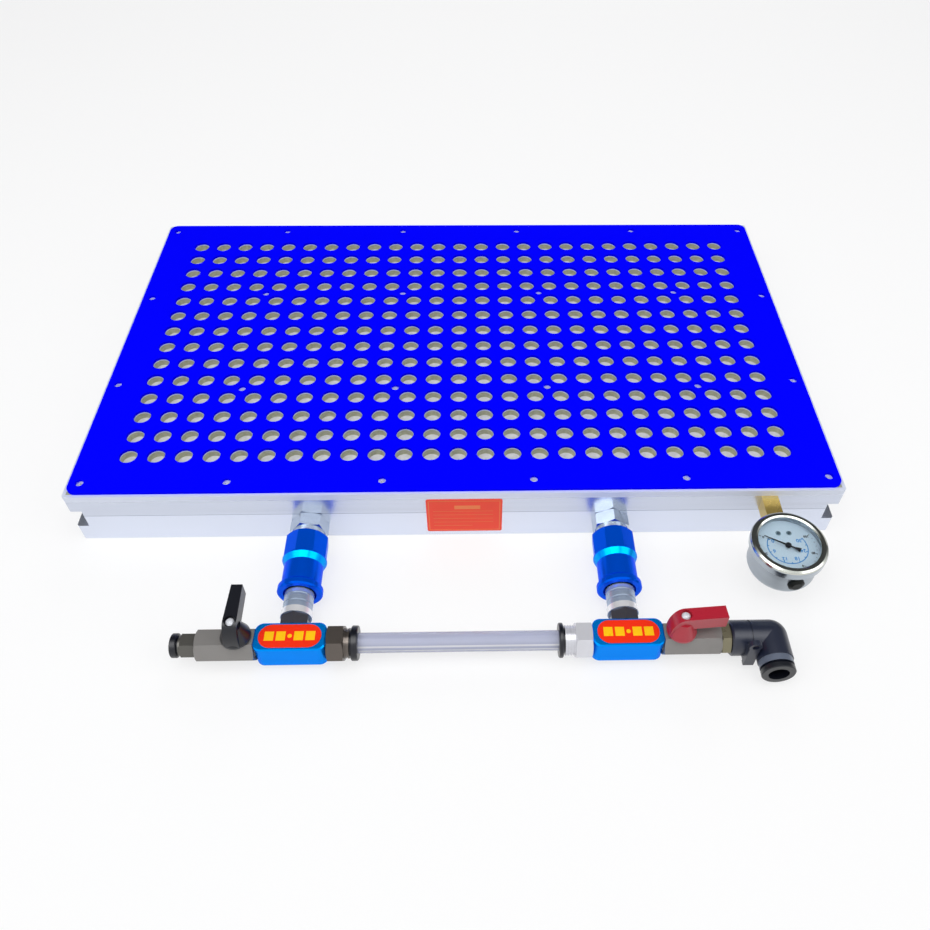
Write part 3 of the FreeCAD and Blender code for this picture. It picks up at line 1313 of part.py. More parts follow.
def gauge():
    """The vacuum gauge: stem, case, bezel, window, dial, pointer, tube spring and fill plug."""
    centre = GAUGE_CENTRE
    case_radius = half("gauge_case_diameter")
    inner = f"{case_radius} - gauge_case_wall"
    case_top = "(gauge_top - gauge_bezel_lip - gauge_glass_thickness)"
    corner = "gauge_case_corner"
    floor = "gauge_case_low + gauge_case_wall"
    cup = turned("gauge_cup", [
        ("0", "gauge_case_low"),
        (f"{case_radius} - {corner}", "gauge_case_low"),
        (f"{case_radius} - 0.3 * {corner}", f"gauge_case_low + 0.3 * {corner}"),
        (case_radius, f"gauge_case_low + {corner}"),
        (case_radius, case_top),
        (inner, case_top),
        (inner, f"{floor} + {corner}"),
        (f"{inner} - {corner}", floor),
        ("0", floor),
    ])
    place(cup, "up", *centre, "0")
    stem_hole = block(
        "gauge_stem_hole",
        ("gauge_stem_width + 2 * fit_gap", "gauge_case_diameter / 2", "gauge_stem_width + 2 * fit_gap"),
        (f"{centre[0]} - gauge_stem_width / 2 - fit_gap", centre[1],
         "gauge_port_height - gauge_stem_width / 2 - fit_gap"),
    )
    plug_turn = FreeCAD.Rotation(FreeCAD.Vector(0, 0, 1), sheet.fill_plug_angle) * TURNS["right"]
    neck = "(fill_plug_diameter * 0.62)"
    plug_hole = cylinder("gauge_plug_hole", f"{neck} + 2 * fit_gap", "gauge_case_diameter")
    point_plug(plug_hole, plug_turn, centre)
    case = cut("gauge_case", cup, group("gauge_case_holes", stem_hole, plug_hole))
    keep("gauge_case", case)

    head = half("fill_plug_diameter")
    seat = f"{case_radius} * cos(15)"
    plug = turned("gauge_fill_plug_blank", [
        ("0", f"{inner} - 1"),
        (half(neck), f"{inner} - 1"),
        (half(neck), seat),
        (head, seat),
        (head, f"{case_radius} + 0.5 * fill_plug_height"),
        (f"0.6 * {head}", f"{case_radius} + fill_plug_height"),
        ("0", f"{case_radius} + fill_plug_height"),
    ])
    point_plug(plug, plug_turn, centre)
    case_round = cylinder("gauge_case_round", "gauge_case_diameter + fit_gap", "gauge_top")
    place(case_round, "up", *centre, "0")
    hollow = cylinder("gauge_case_inside", "gauge_case_diameter - 2 * gauge_case_wall", "gauge_top")
    place(hollow, "up", *centre, "0")
    shell = cut("gauge_case_shell", case_round, hollow)
    plug_neck = point_plug(cylinder("fill_plug_neck", neck, "gauge_case_diameter"), plug_turn, centre)
    beside_neck = cut("gauge_shell_round_plug", shell, plug_neck)
    keep("gauge_fill_plug", cut("gauge_fill_plug", plug, beside_neck))

    bezel = f"({case_radius} + gauge_bezel_rim)"
    opening = f"({case_radius} - gauge_bezel_cover)"
    bezel_low = "(gauge_top - gauge_bezel_height)"
    bore = f"{case_radius} + fit_gap"
    ring = turned("gauge_bezel", [
        (bore, bezel_low),
        (f"{bezel} - 0.5", bezel_low),
        (bezel, f"{bezel_low} + 0.5"),
        (bezel, "gauge_top - 2.2"),
        (f"{bezel} - 0.6", "gauge_top - 0.8"),
        (f"{bezel} - 1.8", "gauge_top"),
        (f"{opening} + 1", "gauge_top"),
        (opening, "gauge_top - 0.6"),
        (opening, "gauge_top - gauge_bezel_lip"),
        (bore, "gauge_top - gauge_bezel_lip"),
    ])
    keep("gauge_bezel", place(ring, "up", *centre, "0"))
    glass = cylinder("gauge_window", "gauge_case_diameter", "gauge_glass_thickness", case_top)
    keep("gauge_window", place(glass, "up", *centre, case_top))

    dial_top = "(gauge_top - gauge_dial_depth)"
    dial_disc = cylinder("gauge_dial_disc", f"2 * ({inner}) - 2 * fit_gap", "gauge_dial_thickness")
    place(dial_disc, "up", *centre, f"{dial_top} - gauge_dial_thickness")
    arbor_hole = cylinder("gauge_arbor_hole", "pointer_arbor_diameter + 2 * running_gap", "gauge_top")
    place(arbor_hole, "up", *centre, "0")
    keep("gauge_dial", cut("gauge_dial", dial_disc, arbor_hole))

    dial_screws = []
    for angle in (72, 108):
        spot = (
            f"{centre[0]} + {DIAL_SCREW_CIRCLE} * cos({angle})",
            f"{centre[1]} + {DIAL_SCREW_CIRCLE} * sin({angle})",
        )
        screw = cylinder("dial_screw", "dial_screw_diameter", "dial_screw_diameter / 3")
        dial_screws.append(place(screw, "up", *spot, dial_top))
    keep("dial_screws", group("dial_screws", *dial_screws))

    pointer(centre, dial_top)
    gauge_inside(centre, dial_top)


def pointer(centre, dial_top):
    """The pointer with its counterweight, hub and arbor."""
    thin, tail = half("pointer_width"), half("pointer_tail_width")
    reach = f"{half('gauge_case_diameter')} - gauge_bezel_cover - pointer_gap"
    needle = padded("pointer_needle", [
        (reach, f"-{thin} / 3"),
        (reach, f"{thin} / 3"),
        ("0", thin),
        ("-pointer_tail / 2", thin),
        ("-pointer_tail", tail),
        ("-pointer_tail", f"-{tail}"),
        ("-pointer_tail / 2", f"-{thin}"),
        ("0", f"-{thin}"),
    ], "pointer_thickness")
    bind(needle, {"Placement.Base.z": f"{dial_top} + pointer_height"})
    hub = cylinder(
        "pointer_hub", "pointer_hub_diameter", "3 * pointer_thickness",
        f"{dial_top} + pointer_height - pointer_thickness",
    )
    arbor_low = "(gauge_port_height + gauge_stem_width / 2)"
    arbor = cylinder(
        "pointer_arbor", "pointer_arbor_diameter",
        f"{dial_top} + pointer_height - {arbor_low}", arbor_low,
    )
    whole = fuse("gauge_pointer", needle, hub, arbor)
    turn = FreeCAD.Rotation(FreeCAD.Vector(0, 0, 1), sheet.pointer_rest_angle)
    whole.Placement = FreeCAD.Placement(FreeCAD.Vector(), turn)
    bind(whole, {"Placement.Base.x": centre[0], "Placement.Base.y": centre[1]})
    keep("gauge_pointer", whole)


def gauge_inside(centre, dial_top):
    """The brass stem with its socket block, the curved tube spring and the movement plate."""
    width = "gauge_stem_width"
    stem_length = "(gauge_stand_off + gauge_case_wall + socket_block_width)"
    body = block(
        "gauge_stem_body",
        (width, stem_length, width),
        (f"{centre[0]} - {width} / 2", f"{FRONT} - {stem_length}", f"gauge_port_height - {width} / 2"),
    )
    tail = cylinder("gauge_stem_tail", "small_tail_diameter", "small_tail_length + 1")
    place(tail, "out", centre[0], f"{FRONT} + small_tail_length", "gauge_port_height")
    hole = cylinder(
        "gauge_stem_bore", "gauge_passage_diameter", f"small_tail_length + {stem_length} + 1"
    )
    place(hole, "out", centre[0], f"{FRONT} + small_tail_length", "gauge_port_height")
    stem = cut("gauge_stem", fuse("gauge_stem_outside", body, tail), hole)
    keep("gauge_stem", stem)

    up = FreeCAD.Vector(0, 0, 1)
    case_radius = sheet.gauge_case_diameter / 2
    radius = case_radius - sheet.gauge_case_wall - sheet.bourdon_inset
    wall = sheet.bourdon_wall
    middle = FreeCAD.Vector(
        sheet.chuck_length / 2 - sheet.gauge_port_inset,
        -sheet.chuck_width / 2 - sheet.gauge_stand_off - case_radius,
        sheet.gauge_port_height - sheet.bourdon_width / 2,
    )
    start = 90 - math.degrees(math.asin(sheet.gauge_stem_width / 2 / (radius - wall / 2)))
    sweep = sheet.bourdon_sweep
    outer = Part.makeCylinder(radius + wall / 2, sheet.bourdon_width, middle, up, sweep)
    inner = Part.makeCylinder(radius - wall / 2, sheet.bourdon_width, middle, up, sweep)
    curl = outer.cut(inner)
    curl.rotate(middle, up, start - sweep)
    keep("bourdon_tube", solid_of("bourdon_tube", curl))

    block_top = "(gauge_port_height + gauge_stem_width / 2)"
    carrier = cylinder(
        "movement_disc", "gauge_case_diameter - 2 * gauge_case_wall - 2 * bourdon_inset", "movement_thickness"
    )
    place(carrier, "up", *centre, block_top)
    pillars = []
    for angle in (72, 108, 252, 288):
        pillar = cylinder(
            "movement_pillar", "dial_screw_diameter", f"{dial_top} - gauge_dial_thickness - {block_top}"
        )
        pillars.append(place(
            pillar, "up",
            f"{centre[0]} + {DIAL_SCREW_CIRCLE} * cos({angle})",
            f"{centre[1]} + {DIAL_SCREW_CIRCLE} * sin({angle})",
            block_top,
        ))
    hole = cylinder("movement_arbor_hole", "pointer_arbor_diameter + 2 * running_gap", "gauge_top")
    place(hole, "up", *centre, "0")
    keep("gauge_movement", cut("gauge_movement", fuse("movement_outside", carrier, *pillars), hole))


def build():
    """Makes every sub-part of the chuck."""
    chamber_base()
    suction_plate()
    front_label()
    coupler("left", hex_turn=-10, grip_turn=16)
    coupler("right", hex_turn=25, grip_turn=28)
    for side, inward in (("left", 1), ("right", -1)):
        manifold_block(side)
        tube_fitting(side, inward)
    clear_tube()
    ball_valve("left", -1, pipe_angle=90, lever_angle=90)
    ball_valve("right", 1, pipe_angle=0, lever_angle=4)
    drain_fitting()
    elbow()
    gauge()
    doc.recompute()


def check():
    """Stops if an object failed or a sub-part is not a valid solid."""
    failed = [thing.Name for thing in doc.Objects if {"Invalid", "Error"} & set(thing.State)]
    if failed:
        raise RuntimeError(f"these objects failed: {failed}")
    for name, piece in pieces.items():
        if piece.Shape.isNull() or not piece.Shape.isValid() or not piece.Shape.Solids:
            raise RuntimeError(f"{name} has no valid solid")


def write():
    """Writes each sub-part to its own STEP file."""
    os.makedirs("parts", exist_ok=True)
    for name, piece in pieces.items():
        piece.Shape.exportStep(f"parts/{name}.step")


fill_sheet()
build()
check()
write()
print(f"{len(pieces)} sub-parts")
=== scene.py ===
"""Looks of the vacuum chuck: surface finishes, printed labels, the gauge's dial, studio and camera."""

import math

import bpy
from mathutils import Matrix, Vector


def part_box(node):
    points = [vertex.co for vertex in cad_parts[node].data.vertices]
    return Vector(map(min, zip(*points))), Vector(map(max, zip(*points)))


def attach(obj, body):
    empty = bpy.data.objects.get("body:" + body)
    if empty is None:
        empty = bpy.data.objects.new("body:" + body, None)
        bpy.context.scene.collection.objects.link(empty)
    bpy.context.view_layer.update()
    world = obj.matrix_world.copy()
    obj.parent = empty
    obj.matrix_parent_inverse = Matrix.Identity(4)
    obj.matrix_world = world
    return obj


bl_info = {
    "name": "Vacuum Chuck Finishes",
    "version": (1, 0, 0),
    "blender": (4, 5, 0),
    "location": "View3D > Sidebar > Chuck",
    "description": "Gives the vacuum chuck its finishes, prints, dial, studio and camera",
    "category": "Object",
}

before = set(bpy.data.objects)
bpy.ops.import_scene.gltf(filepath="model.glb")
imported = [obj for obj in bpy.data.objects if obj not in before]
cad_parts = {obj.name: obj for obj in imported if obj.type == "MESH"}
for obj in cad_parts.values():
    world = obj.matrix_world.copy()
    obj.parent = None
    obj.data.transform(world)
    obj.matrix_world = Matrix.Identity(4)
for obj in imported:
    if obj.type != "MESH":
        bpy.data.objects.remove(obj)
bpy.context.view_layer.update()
MM = 0.001


def millimetres(name, about, value):
    """A length property, given in millimetres and kept in metres."""
    return bpy.props.FloatProperty(
        name=name, description=about, default=value * MM, min=0.0, unit="LENGTH", precision=4
    )


def colour(name, about, red, green, blue):
    """A colour property, given as it looks on screen from 0 to 255 and kept linear."""

    def linear(value):
        share = value / 255
        return share / 12.92 if share <= 0.04045 else ((share + 0.055) / 1.055) ** 2.4

    return bpy.props.FloatVectorProperty(
        name=name, description=about, subtype="COLOR", size=3, min=0.0, max=1.0,
        default=(linear(red), linear(green), linear(blue)),
    )


class ChuckSizes(bpy.types.PropertyGroup):
    """Sizes of the prints and marks."""

    print_lift: millimetres("Print lift", "How far printed ink stands above its surface", 0.03)
    label_margin: millimetres("Label margin", "From the front label's edge to its printed frame", 1.4)
    label_line: millimetres("Label line", "Width of the printed lines on the front label", 0.45)
    label_indent: millimetres("Label indent", "From the label's printed frame to the start of a rule", 3)
    heading_shift: millimetres("Heading shift", "How far the label's heading bar lies right of the middle", 2)
    mark_size: millimetres("Block mark", "Side of the square marks on the block labels", 5.4)
    mark_dot: millimetres("Block dot", "Diameter of the dot between the marks", 2.6)
    dial_tick_radius: millimetres("Dial ticks", "Radius of the dial's outer ticks", 18.2)
    dial_tick_length: millimetres("Tick length", "Length of a long outer tick", 1.5)
    dial_tick_width: millimetres("Tick width", "Width of a long outer tick", 0.36)
    dial_scale_radius: millimetres("Inner scale", "Radius of the dial's blue inner scale", 12.6)
    dial_scale_line: millimetres("Inner line", "Width of the inner scale's arc and marks", 0.6)
    dial_scale_mark: millimetres("Inner mark", "Length of a mark of the inner scale", 1.4)
    dial_number_size: millimetres("Number size", "Height of the dial's outer numbers", 2.2)
    dial_inner_size: millimetres("Inner number size", "Height of the dial's blue numbers", 3.5)
    dial_number_inset: millimetres("Number inset", "From the ticks' outer radius to the outer numbers", 2.8)
    dial_inner_inset: millimetres("Inner number inset", "From the inner scale to its numbers", 3.2)
    dial_number_weight: millimetres("Number weight", "How much the numbers' strokes are thickened", 0.09)
    screw_mark: millimetres("Screw mark", "Radius of the ring round a dial screw", 1.7)
    bezel_rim: millimetres("Bezel rim", "Height of the bezel's polished rim", 1.8)
    base_line: millimetres("Base line", "Height of the fine line along the base's front", 23.6)
    base_line_width: millimetres("Base line width", "Width of that line", 0.5)
    # The plate's lip keeps its own metal tone on its sides; the rim below its top is a painted highlight
    # round each hole
    plate_lip: millimetres("Plate lip", "How far the plate's bright edge goes in from its sides", 2.2)
    plate_rim: millimetres("Plate rim", "Height of the bright edge below the plate's top", 0.7)
    plug_collar: millimetres("Plug collar", "From the base's front to the collar of a coupler plug", 67.5)
    plug_hex: millimetres("Plug hexagon", "From the base's front to the hexagon of a coupler plug", 72)
    # The sleeves' painted highlight lies on the cone between these two places
    cone_start: millimetres("Sleeve cone", "From the base's front to the cone of a coupler sleeve", 31.5)
    cone_end: millimetres("Cone end", "From the base's front to the end of that cone", 35.5)
    elbow_band: millimetres("Elbow band", "Length of the paler end of the elbow's outlet", 4)


class ChuckColours(bpy.types.PropertyGroup):
    """Colours of the finishes."""

    mat_blue: colour("Mat", "Anti-slip mat", 0, 0, 255)
    aluminium: colour("Aluminium", "Machined base", 214, 220, 235)
    low_face: colour("Low face", "Lower half of the base's faces", 222, 228, 243)
    face_line: colour("Face line", "Fine line along the base's front", 166, 174, 192)
    # The plate's olive tone is painted shade and reflection: it stands in for how the shaded walls of its
    # holes look
    plate: colour("Plate", "Perforated plate", 206, 208, 172)
    # Partly the metal's own tone on the plate's sides, partly a painted highlight on the rims of its holes
    plate_edge_and_rim_highlight: colour("Plate edge", "Bright edges of the perforated plate", 222, 228, 242)
    hole_floor: colour("Throttle sheet", "Sheet under the holes", 250, 250, 252)
    anodised_sleeve: colour("Sleeve", "Anodised coupler sleeves", 0, 98, 255)
    anodised_block: colour("Block", "Anodised manifold blocks", 0, 150, 255)
    # Painted highlight: a brighter cyan blue that stands in for the light reflected on the sleeves' cone
    sleeve_cone_highlight: colour("Sleeve cone", "Bright cone of the sleeves", 0, 166, 255)
    nickel: colour("Nickel", "Plated valves", 142, 139, 136)
    drain_nickel: colour("Drain nickel", "Plated drain fitting", 102, 100, 95)
    dark_nickel: colour("Dark nickel", "Plated left tube fitting", 108, 100, 94)
    light_nickel: colour("Light nickel", "Plated right tube fitting", 226, 226, 232)
    bright_nickel: colour("Bright nickel", "Coupler sockets", 204, 214, 224)
    plug_nickel: colour("Plug nickel", "Ribbed part of the coupler plugs", 176, 192, 214)
    plug_white: colour("Plug collar", "Bright collar of the coupler plugs", 250, 250, 252)
    plug_dark: colour("Plug hexagon", "Dark hexagon of the coupler plugs", 84, 82, 88)
    steel: colour("Steel", "Screws, balls and stems", 236, 238, 244)
    stainless: colour("Stainless", "Gauge bezel", 206, 208, 200)
    case_steel: colour("Case steel", "Gauge case", 172, 180, 188)
    brass: colour("Brass", "Gauge stem", 222, 192, 108)
    pale_brass: colour("Pale brass", "Elbow adapter", 138, 132, 108)
    black_plastic: colour("Black plastic", "Collars and the black lever", 17, 19, 28)
    elbow_plastic: colour("Elbow plastic", "Push-in elbow", 27, 33, 52)
    elbow_band: colour("Elbow band", "Paler end of the elbow's outlet", 92, 100, 116)
    red_plastic: colour("Red plastic", "Red lever", 176, 18, 44)
    label_red: colour("Label red", "Ground of the front label", 249, 54, 0)
    label_orange: colour("Label orange", "Print of the front label", 246, 128, 60)
    mark_red: colour("Block label red", "Ground of the block labels", 245, 46, 10)
    mark_yellow: colour("Block label yellow", "Marks on the block labels", 255, 196, 0)
    dial_white: colour("Dial", "Ground of the dial", 206, 226, 238)
    dial_blue: colour("Dial blue", "Inner scale", 40, 148, 222)
    dial_ink: colour("Dial ink", "Outer scale and pointer", 24, 28, 38)
    screw_mark: colour("Screw marks", "Rings round the dial's screws", 128, 158, 170)
    dial_screw: colour("Dial screws", "Two small screws on the dial", 96, 116, 128)
    tube: colour("Tube", "Clear tube", 218, 222, 244)
    # Painted highlight: white streaks for the light refracted and reflected along the clear tube
    tube_streak_highlight: colour("Tube streak", "Bright streaks along the clear tube", 255, 255, 255)
    rubber: colour("Rubber", "Seals and the gauge's plug", 10, 14, 11)
    seat: colour("Seat", "Valve seats", 235, 235, 228)


BLUE_SHEEN = (0.0, 0.35, 1.0, 1.0)
# The dial's arc, in degrees: where zero stands and how far the scale runs
DIAL_START = 150
DIAL_SWEEP = 240
DIAL_STEPS = 60
# The tube's painted highlights, bright streaks along it, in millimetres above and below its axis
TUBE_HIGHLIGHT_STREAKS = ((-4.6, -3.9), (-2.2, -1.0), (0.6, 1.3), (3.0, 3.9))


def sizes():
    return bpy.context.scene.chuck_sizes


def colours():
    return bpy.context.scene.chuck_colours


# Shader node groups and materials


def new_group(name, inputs, outputs):
    """An empty shader node group with named sockets."""
    tree = bpy.data.node_groups.new(name, "ShaderNodeTree")
    for socket, kind, value in inputs:
        made = tree.interface.new_socket(socket, in_out="INPUT", socket_type=f"NodeSocket{kind}")
        made.default_value = value
    for socket, kind in outputs:
        tree.interface.new_socket(socket, in_out="OUTPUT", socket_type=f"NodeSocket{kind}")
    source = tree.nodes.new("NodeGroupInput")
    source.location = (-900, 0)
    target = tree.nodes.new("NodeGroupOutput")
    target.location = (700, 0)
    return tree, source.outputs, target.inputs


def add_node(tree, kind, place, **settings):
    node = tree.nodes.new(f"ShaderNode{kind}")
    node.location = place
    for name, value in settings.items():
        setattr(node, name, value)
    return node


def spread(tree, place, factor, low, high):
    """Maps a 0 to 1 factor to the range from low to high, each a number or a socket."""
    node = add_node(tree, "MapRange", place)
    tree.links.new(factor, node.inputs["Value"])
    for name, value in (("To Min", low), ("To Max", high)):
        if isinstance(value, (int, float)):
            node.inputs[name].default_value = value
        else:
            tree.links.new(value, node.inputs[name])
    return node.outputs["Result"]


def mixed(tree, place, factor, first, second, blend="MIX"):
    """Mixes two colours, each a colour or a socket."""
    node = add_node(tree, "Mix", place, data_type="RGBA", blend_type=blend)
    sockets = {"Factor": node.inputs[0], "A": node.inputs[6], "B": node.inputs[7]}
    for name, value in (("Factor", factor), ("A", first), ("B", second)):
        if isinstance(value, bpy.types.NodeSocket):
            tree.links.new(value, sockets[name])
        else:
            sockets[name].default_value = value
    return node.outputs[2]


def surface_variation():
    """Soft cloudy change of tone and gloss, with fine grain, such as handled metal and plastic have."""
    if "surface_variation" in bpy.data.node_groups:
        return bpy.data.node_groups["surface_variation"]
    tree, given, made = new_group(
        "surface_variation",
        [
            ("Colour", "Color", (0.8, 0.8, 0.8, 1)), ("Stretch", "Vector", (1, 1, 1)),
            ("Cloud Scale", "Float", 40), ("Grain Scale", "Float", 900), ("Darker", "Float", 0.1),
            ("Low Roughness", "Float", 0.3), ("High Roughness", "Float", 0.45),
        ],
        [("Colour", "Color"), ("Roughness", "Float"), ("Height", "Float")],
    )
    place = add_node(tree, "TexCoord", (-900, 300))
    stretched = add_node(tree, "VectorMath", (-700, 200), operation="MULTIPLY")
    tree.links.new(place.outputs["Object"], stretched.inputs[0])
    tree.links.new(given["Stretch"], stretched.inputs[1])
    cloud = add_node(tree, "TexNoise", (-500, 200))
    cloud.inputs["Detail"].default_value = 3
    grain = add_node(tree, "TexNoise", (-500, -100))
    grain.inputs["Detail"].default_value = 2
    for noise, scale in ((cloud, "Cloud Scale"), (grain, "Grain Scale")):
        tree.links.new(stretched.outputs[0], noise.inputs["Vector"])
        tree.links.new(given[scale], noise.inputs["Scale"])
    shade = spread(tree, (-250, 250), cloud.outputs["Fac"], 0, given["Darker"])
    tree.links.new(mixed(tree, (50, 300), shade, given["Colour"], (0, 0, 0, 1)), made["Colour"])
    gloss = spread(tree, (-250, 0), cloud.outputs["Fac"], given["Low Roughness"], given["High Roughness"])
    tree.links.new(gloss, made["Roughness"])
    tree.links.new(grain.outputs["Fac"], made["Height"])
    return tree


def turning_lines():
    """Concentric tool lines round an axis in the piece, by their distance along it."""
    if "turning_lines" in bpy.data.node_groups:
        return bpy.data.node_groups["turning_lines"]
    tree, given, made = new_group(
        "turning_lines",
        [("Axis", "Vector", (0, 1, 0)), ("Lines", "Float", 1200), ("Strength", "Float", 1)],
        [("Height", "Float")],
    )
    place = add_node(tree, "TexCoord", (-900, 200))
    along = add_node(tree, "VectorMath", (-700, 100), operation="MULTIPLY")
    tree.links.new(place.outputs["Object"], along.inputs[0])
    tree.links.new(given["Axis"], along.inputs[1])
    noise = add_node(tree, "TexNoise", (-450, 100))
    noise.inputs["Detail"].default_value = 4
    tree.links.new(along.outputs[0], noise.inputs["Vector"])
    tree.links.new(given["Lines"], noise.inputs["Scale"])
    tree.links.new(spread(tree, (-200, 100), noise.outputs["Fac"], 0, given["Strength"]), made["Height"])
    return tree


def banded(tree, axis, low, high, colour, band):
    """The colour, changed to that of the band between two places along an axis."""
    place = add_node(tree, "TexCoord", (-900, 500))
    parts = add_node(tree, "SeparateXYZ", (-700, 500))
    tree.links.new(place.outputs["Object"], parts.inputs[0])
    above = add_node(tree, "Math", (-500, 500), operation="GREATER_THAN")
    below = add_node(tree, "Math", (-500, 650), operation="LESS_THAN")
    inside = add_node(tree, "Math", (-300, 550), operation="MULTIPLY")
    for node, limit, number in ((above, low, 0), (below, high, 1)):
        tree.links.new(parts.outputs[axis], node.inputs[0])
        node.inputs[1].default_value = limit
        tree.links.new(node.outputs["Value"], inside.inputs[number])
    return mixed(tree, (-100, 500), inside.outputs["Value"], colour, (*band, 1))


def place_group(tree, group, place, values):
    node = add_node(tree, "Group", place, node_tree=group)
    for name, value in values.items():
        node.inputs[name].default_value = value
    return node


def finish(name, tint, low=0.3, high=0.45, metal=0.0, stretch=(1, 1, 1), cloud=40, grain=900, darker=0.1,
           bump=0.02, lines=None, bands=(), **shader):
    """A material of varied tone and gloss; shader holds constant values for other Principled sockets."""
    material = bpy.data.materials.new(name)
    material.use_nodes = True
    tree = material.node_tree
    surface = tree.nodes["Principled BSDF"]
    surface.location = (300, 200)
    varied = place_group(tree, surface_variation(), (-300, 200), {
        "Colour": (*tint, 1), "Stretch": stretch, "Cloud Scale": cloud, "Grain Scale": grain,
        "Darker": darker, "Low Roughness": low, "High Roughness": high,
    })
    tone = varied.outputs["Colour"]
    for band in bands:
        tone = banded(tree, *band[:3], tone, band[3])
    tree.links.new(tone, surface.inputs["Base Color"])
    tree.links.new(varied.outputs["Roughness"], surface.inputs["Roughness"])
    raised = add_node(tree, "Bump", (50, -100))
    raised.inputs["Strength"].default_value = bump
    raised.inputs["Distance"].default_value = 0.1 * MM
    height = varied.outputs["Height"]
    if lines:
        turned = place_group(tree, turning_lines(), (-300, -200), {"Axis": lines})
        height = turned.outputs["Height"]
    tree.links.new(height, raised.inputs["Height"])
    tree.links.new(raised.outputs["Normal"], surface.inputs["Normal"])
    surface.inputs["Metallic"].default_value = metal
    for socket, value in shader.items():
        surface.inputs[socket.replace("_", " ")].default_value = value
    material.diffuse_color = (*tint, 1)
    return material


def wear(material, *nodes):
    """Gives these CAD nodes the material."""
    for name in nodes:
        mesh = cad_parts[name].data
        mesh.materials.clear()
        mesh.materials.append(material)


def both(*names):
    """The left and right copies of these nodes."""
    return [f"{side}_{name}" for name in names for side in ("left", "right")]


# Modelling helpers


def deselect_all():
    if bpy.context.object and bpy.context.object.mode != "OBJECT":
        bpy.ops.object.mode_set(mode="OBJECT")
    bpy.ops.object.select_all(action="DESELECT")


def select_only(*things):
    deselect_all()
    for thing in things:
        thing.select_set(True)
    bpy.context.view_layer.objects.active = things[0]


def new_bar(name, centre, size):
    """A low block of ink: a cube brought to its size at its place."""
    deselect_all()
    bpy.ops.mesh.primitive_cube_add(size=1, location=centre, scale=size)
    thing = bpy.context.object
    thing.name = name
    bpy.ops.object.transform_apply(location=True, rotation=True, scale=True)
    return thing


def new_disc(name, centre, radius, depth, sides=32):
    deselect_all()
    bpy.ops.mesh.primitive_cylinder_add(vertices=sides, radius=radius, depth=depth, location=centre)
    thing = bpy.context.object
    thing.name = name
    bpy.ops.object.transform_apply(location=True, rotation=True, scale=True)
    return thing


def new_frame(name, centre, size, line, up="Z"):
    """A printed outline: a thin block whose middle is inset and taken out."""
    thing = new_bar(name, centre, size)
    axis = "XYZ".index(up)
    bpy.ops.object.mode_set(mode="EDIT")
    bpy.ops.mesh.select_mode(type="FACE")
    bpy.ops.mesh.select_all(action="DESELECT")
    bpy.ops.object.mode_set(mode="OBJECT")
    for face in thing.data.polygons:
        face.select = abs(face.normal[axis]) > 0.9
    bpy.ops.object.mode_set(mode="EDIT")
    bpy.ops.mesh.inset(thickness=line)
    bpy.ops.mesh.bridge_edge_loops()
    bpy.ops.mesh.select_all(action="SELECT")
    bpy.ops.mesh.normals_make_consistent(inside=False)
    bpy.ops.object.mode_set(mode="OBJECT")
    return thing


def join(name, things):
    """One piece made of several, at the origin with its place in its mesh."""
    select_only(*things)
    bpy.ops.object.join()
    thing = bpy.context.object
    thing.name = name
    bpy.ops.object.transform_apply(location=True, rotation=True, scale=True)
    return thing


def finished(thing, material, body):
    """Gives a new piece its material, body and material slot."""
    thing.data.materials.clear()
    thing.data.materials.append(material)
    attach(thing, body)
    return thing


def middle(node):
    low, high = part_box(node)
    return (low + high) / 2


class CHUCK_OT_body(bpy.types.Operator):
    """Finish the base, the plate, the throttle sheet, the mat and the screws"""

    bl_idname = "chuck.body"
    bl_label = "Body and plate"

    def execute(self, context):
        tint, size = colours(), sizes()
        face = finish(
            "milled_aluminium", tint.aluminium, low=0.20, high=0.30, metal=0.9, stretch=(0.05, 1, 4),
            cloud=70, darker=0.14, bump=0.05, lines=(0, 0, 1),
            bands=[
                ("Z", -MM, size.base_line, tint.low_face),
                ("Z", size.base_line, size.base_line + size.base_line_width, tint.face_line),
            ],
        )
        wear(face, "chamber_base")
        # Bright bands: the plate's own metal tone along its sides, and a painted highlight round the top of
        # each hole
        low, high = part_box("top_plate")
        lip = size.plate_lip
        edges = [
            ("X", low.x - MM, low.x + lip), ("X", high.x - lip, high.x + MM),
            ("Y", low.y - MM, low.y + lip), ("Y", high.y - lip, high.y + MM),
            ("Z", high.z - size.plate_rim, high.z - 0.01 * MM),
        ]
        # The olive tone of this finish is painted shade in the holes
        plate = finish(
            "bored_aluminium", tint.plate, low=0.3, high=0.5, metal=0.2, cloud=450, darker=0.5, bump=0.05,
            bands=[(*edge, tint.plate_edge_and_rim_highlight) for edge in edges],
        )
        wear(plate, "top_plate")
        floor = finish(
            "throttle_aluminium", tint.hole_floor, low=0.4, high=0.6, metal=0.1, cloud=260, darker=0.4,
            bump=0.04,
        )
        wear(floor, "throttle_sheet")
        mat = finish(
            "mat_sheet", tint.mat_blue, low=0.7, high=0.8, cloud=9, darker=0.02, grain=1500, bump=0.04,
            Specular_IOR_Level=0.02,
        )
        wear(mat, "anti_slip_mat")
        wear(finish("seal_rubber", tint.rubber, low=0.5, high=0.6), "plate_seal", *both("coupler_seal"))
        screws = finish("bright_screws", tint.steel, low=0.22, high=0.36, metal=0.3, cloud=300, darker=0.2)
        wear(screws, "plate_screws", *both("lever_screw"))
        return {"FINISHED"}


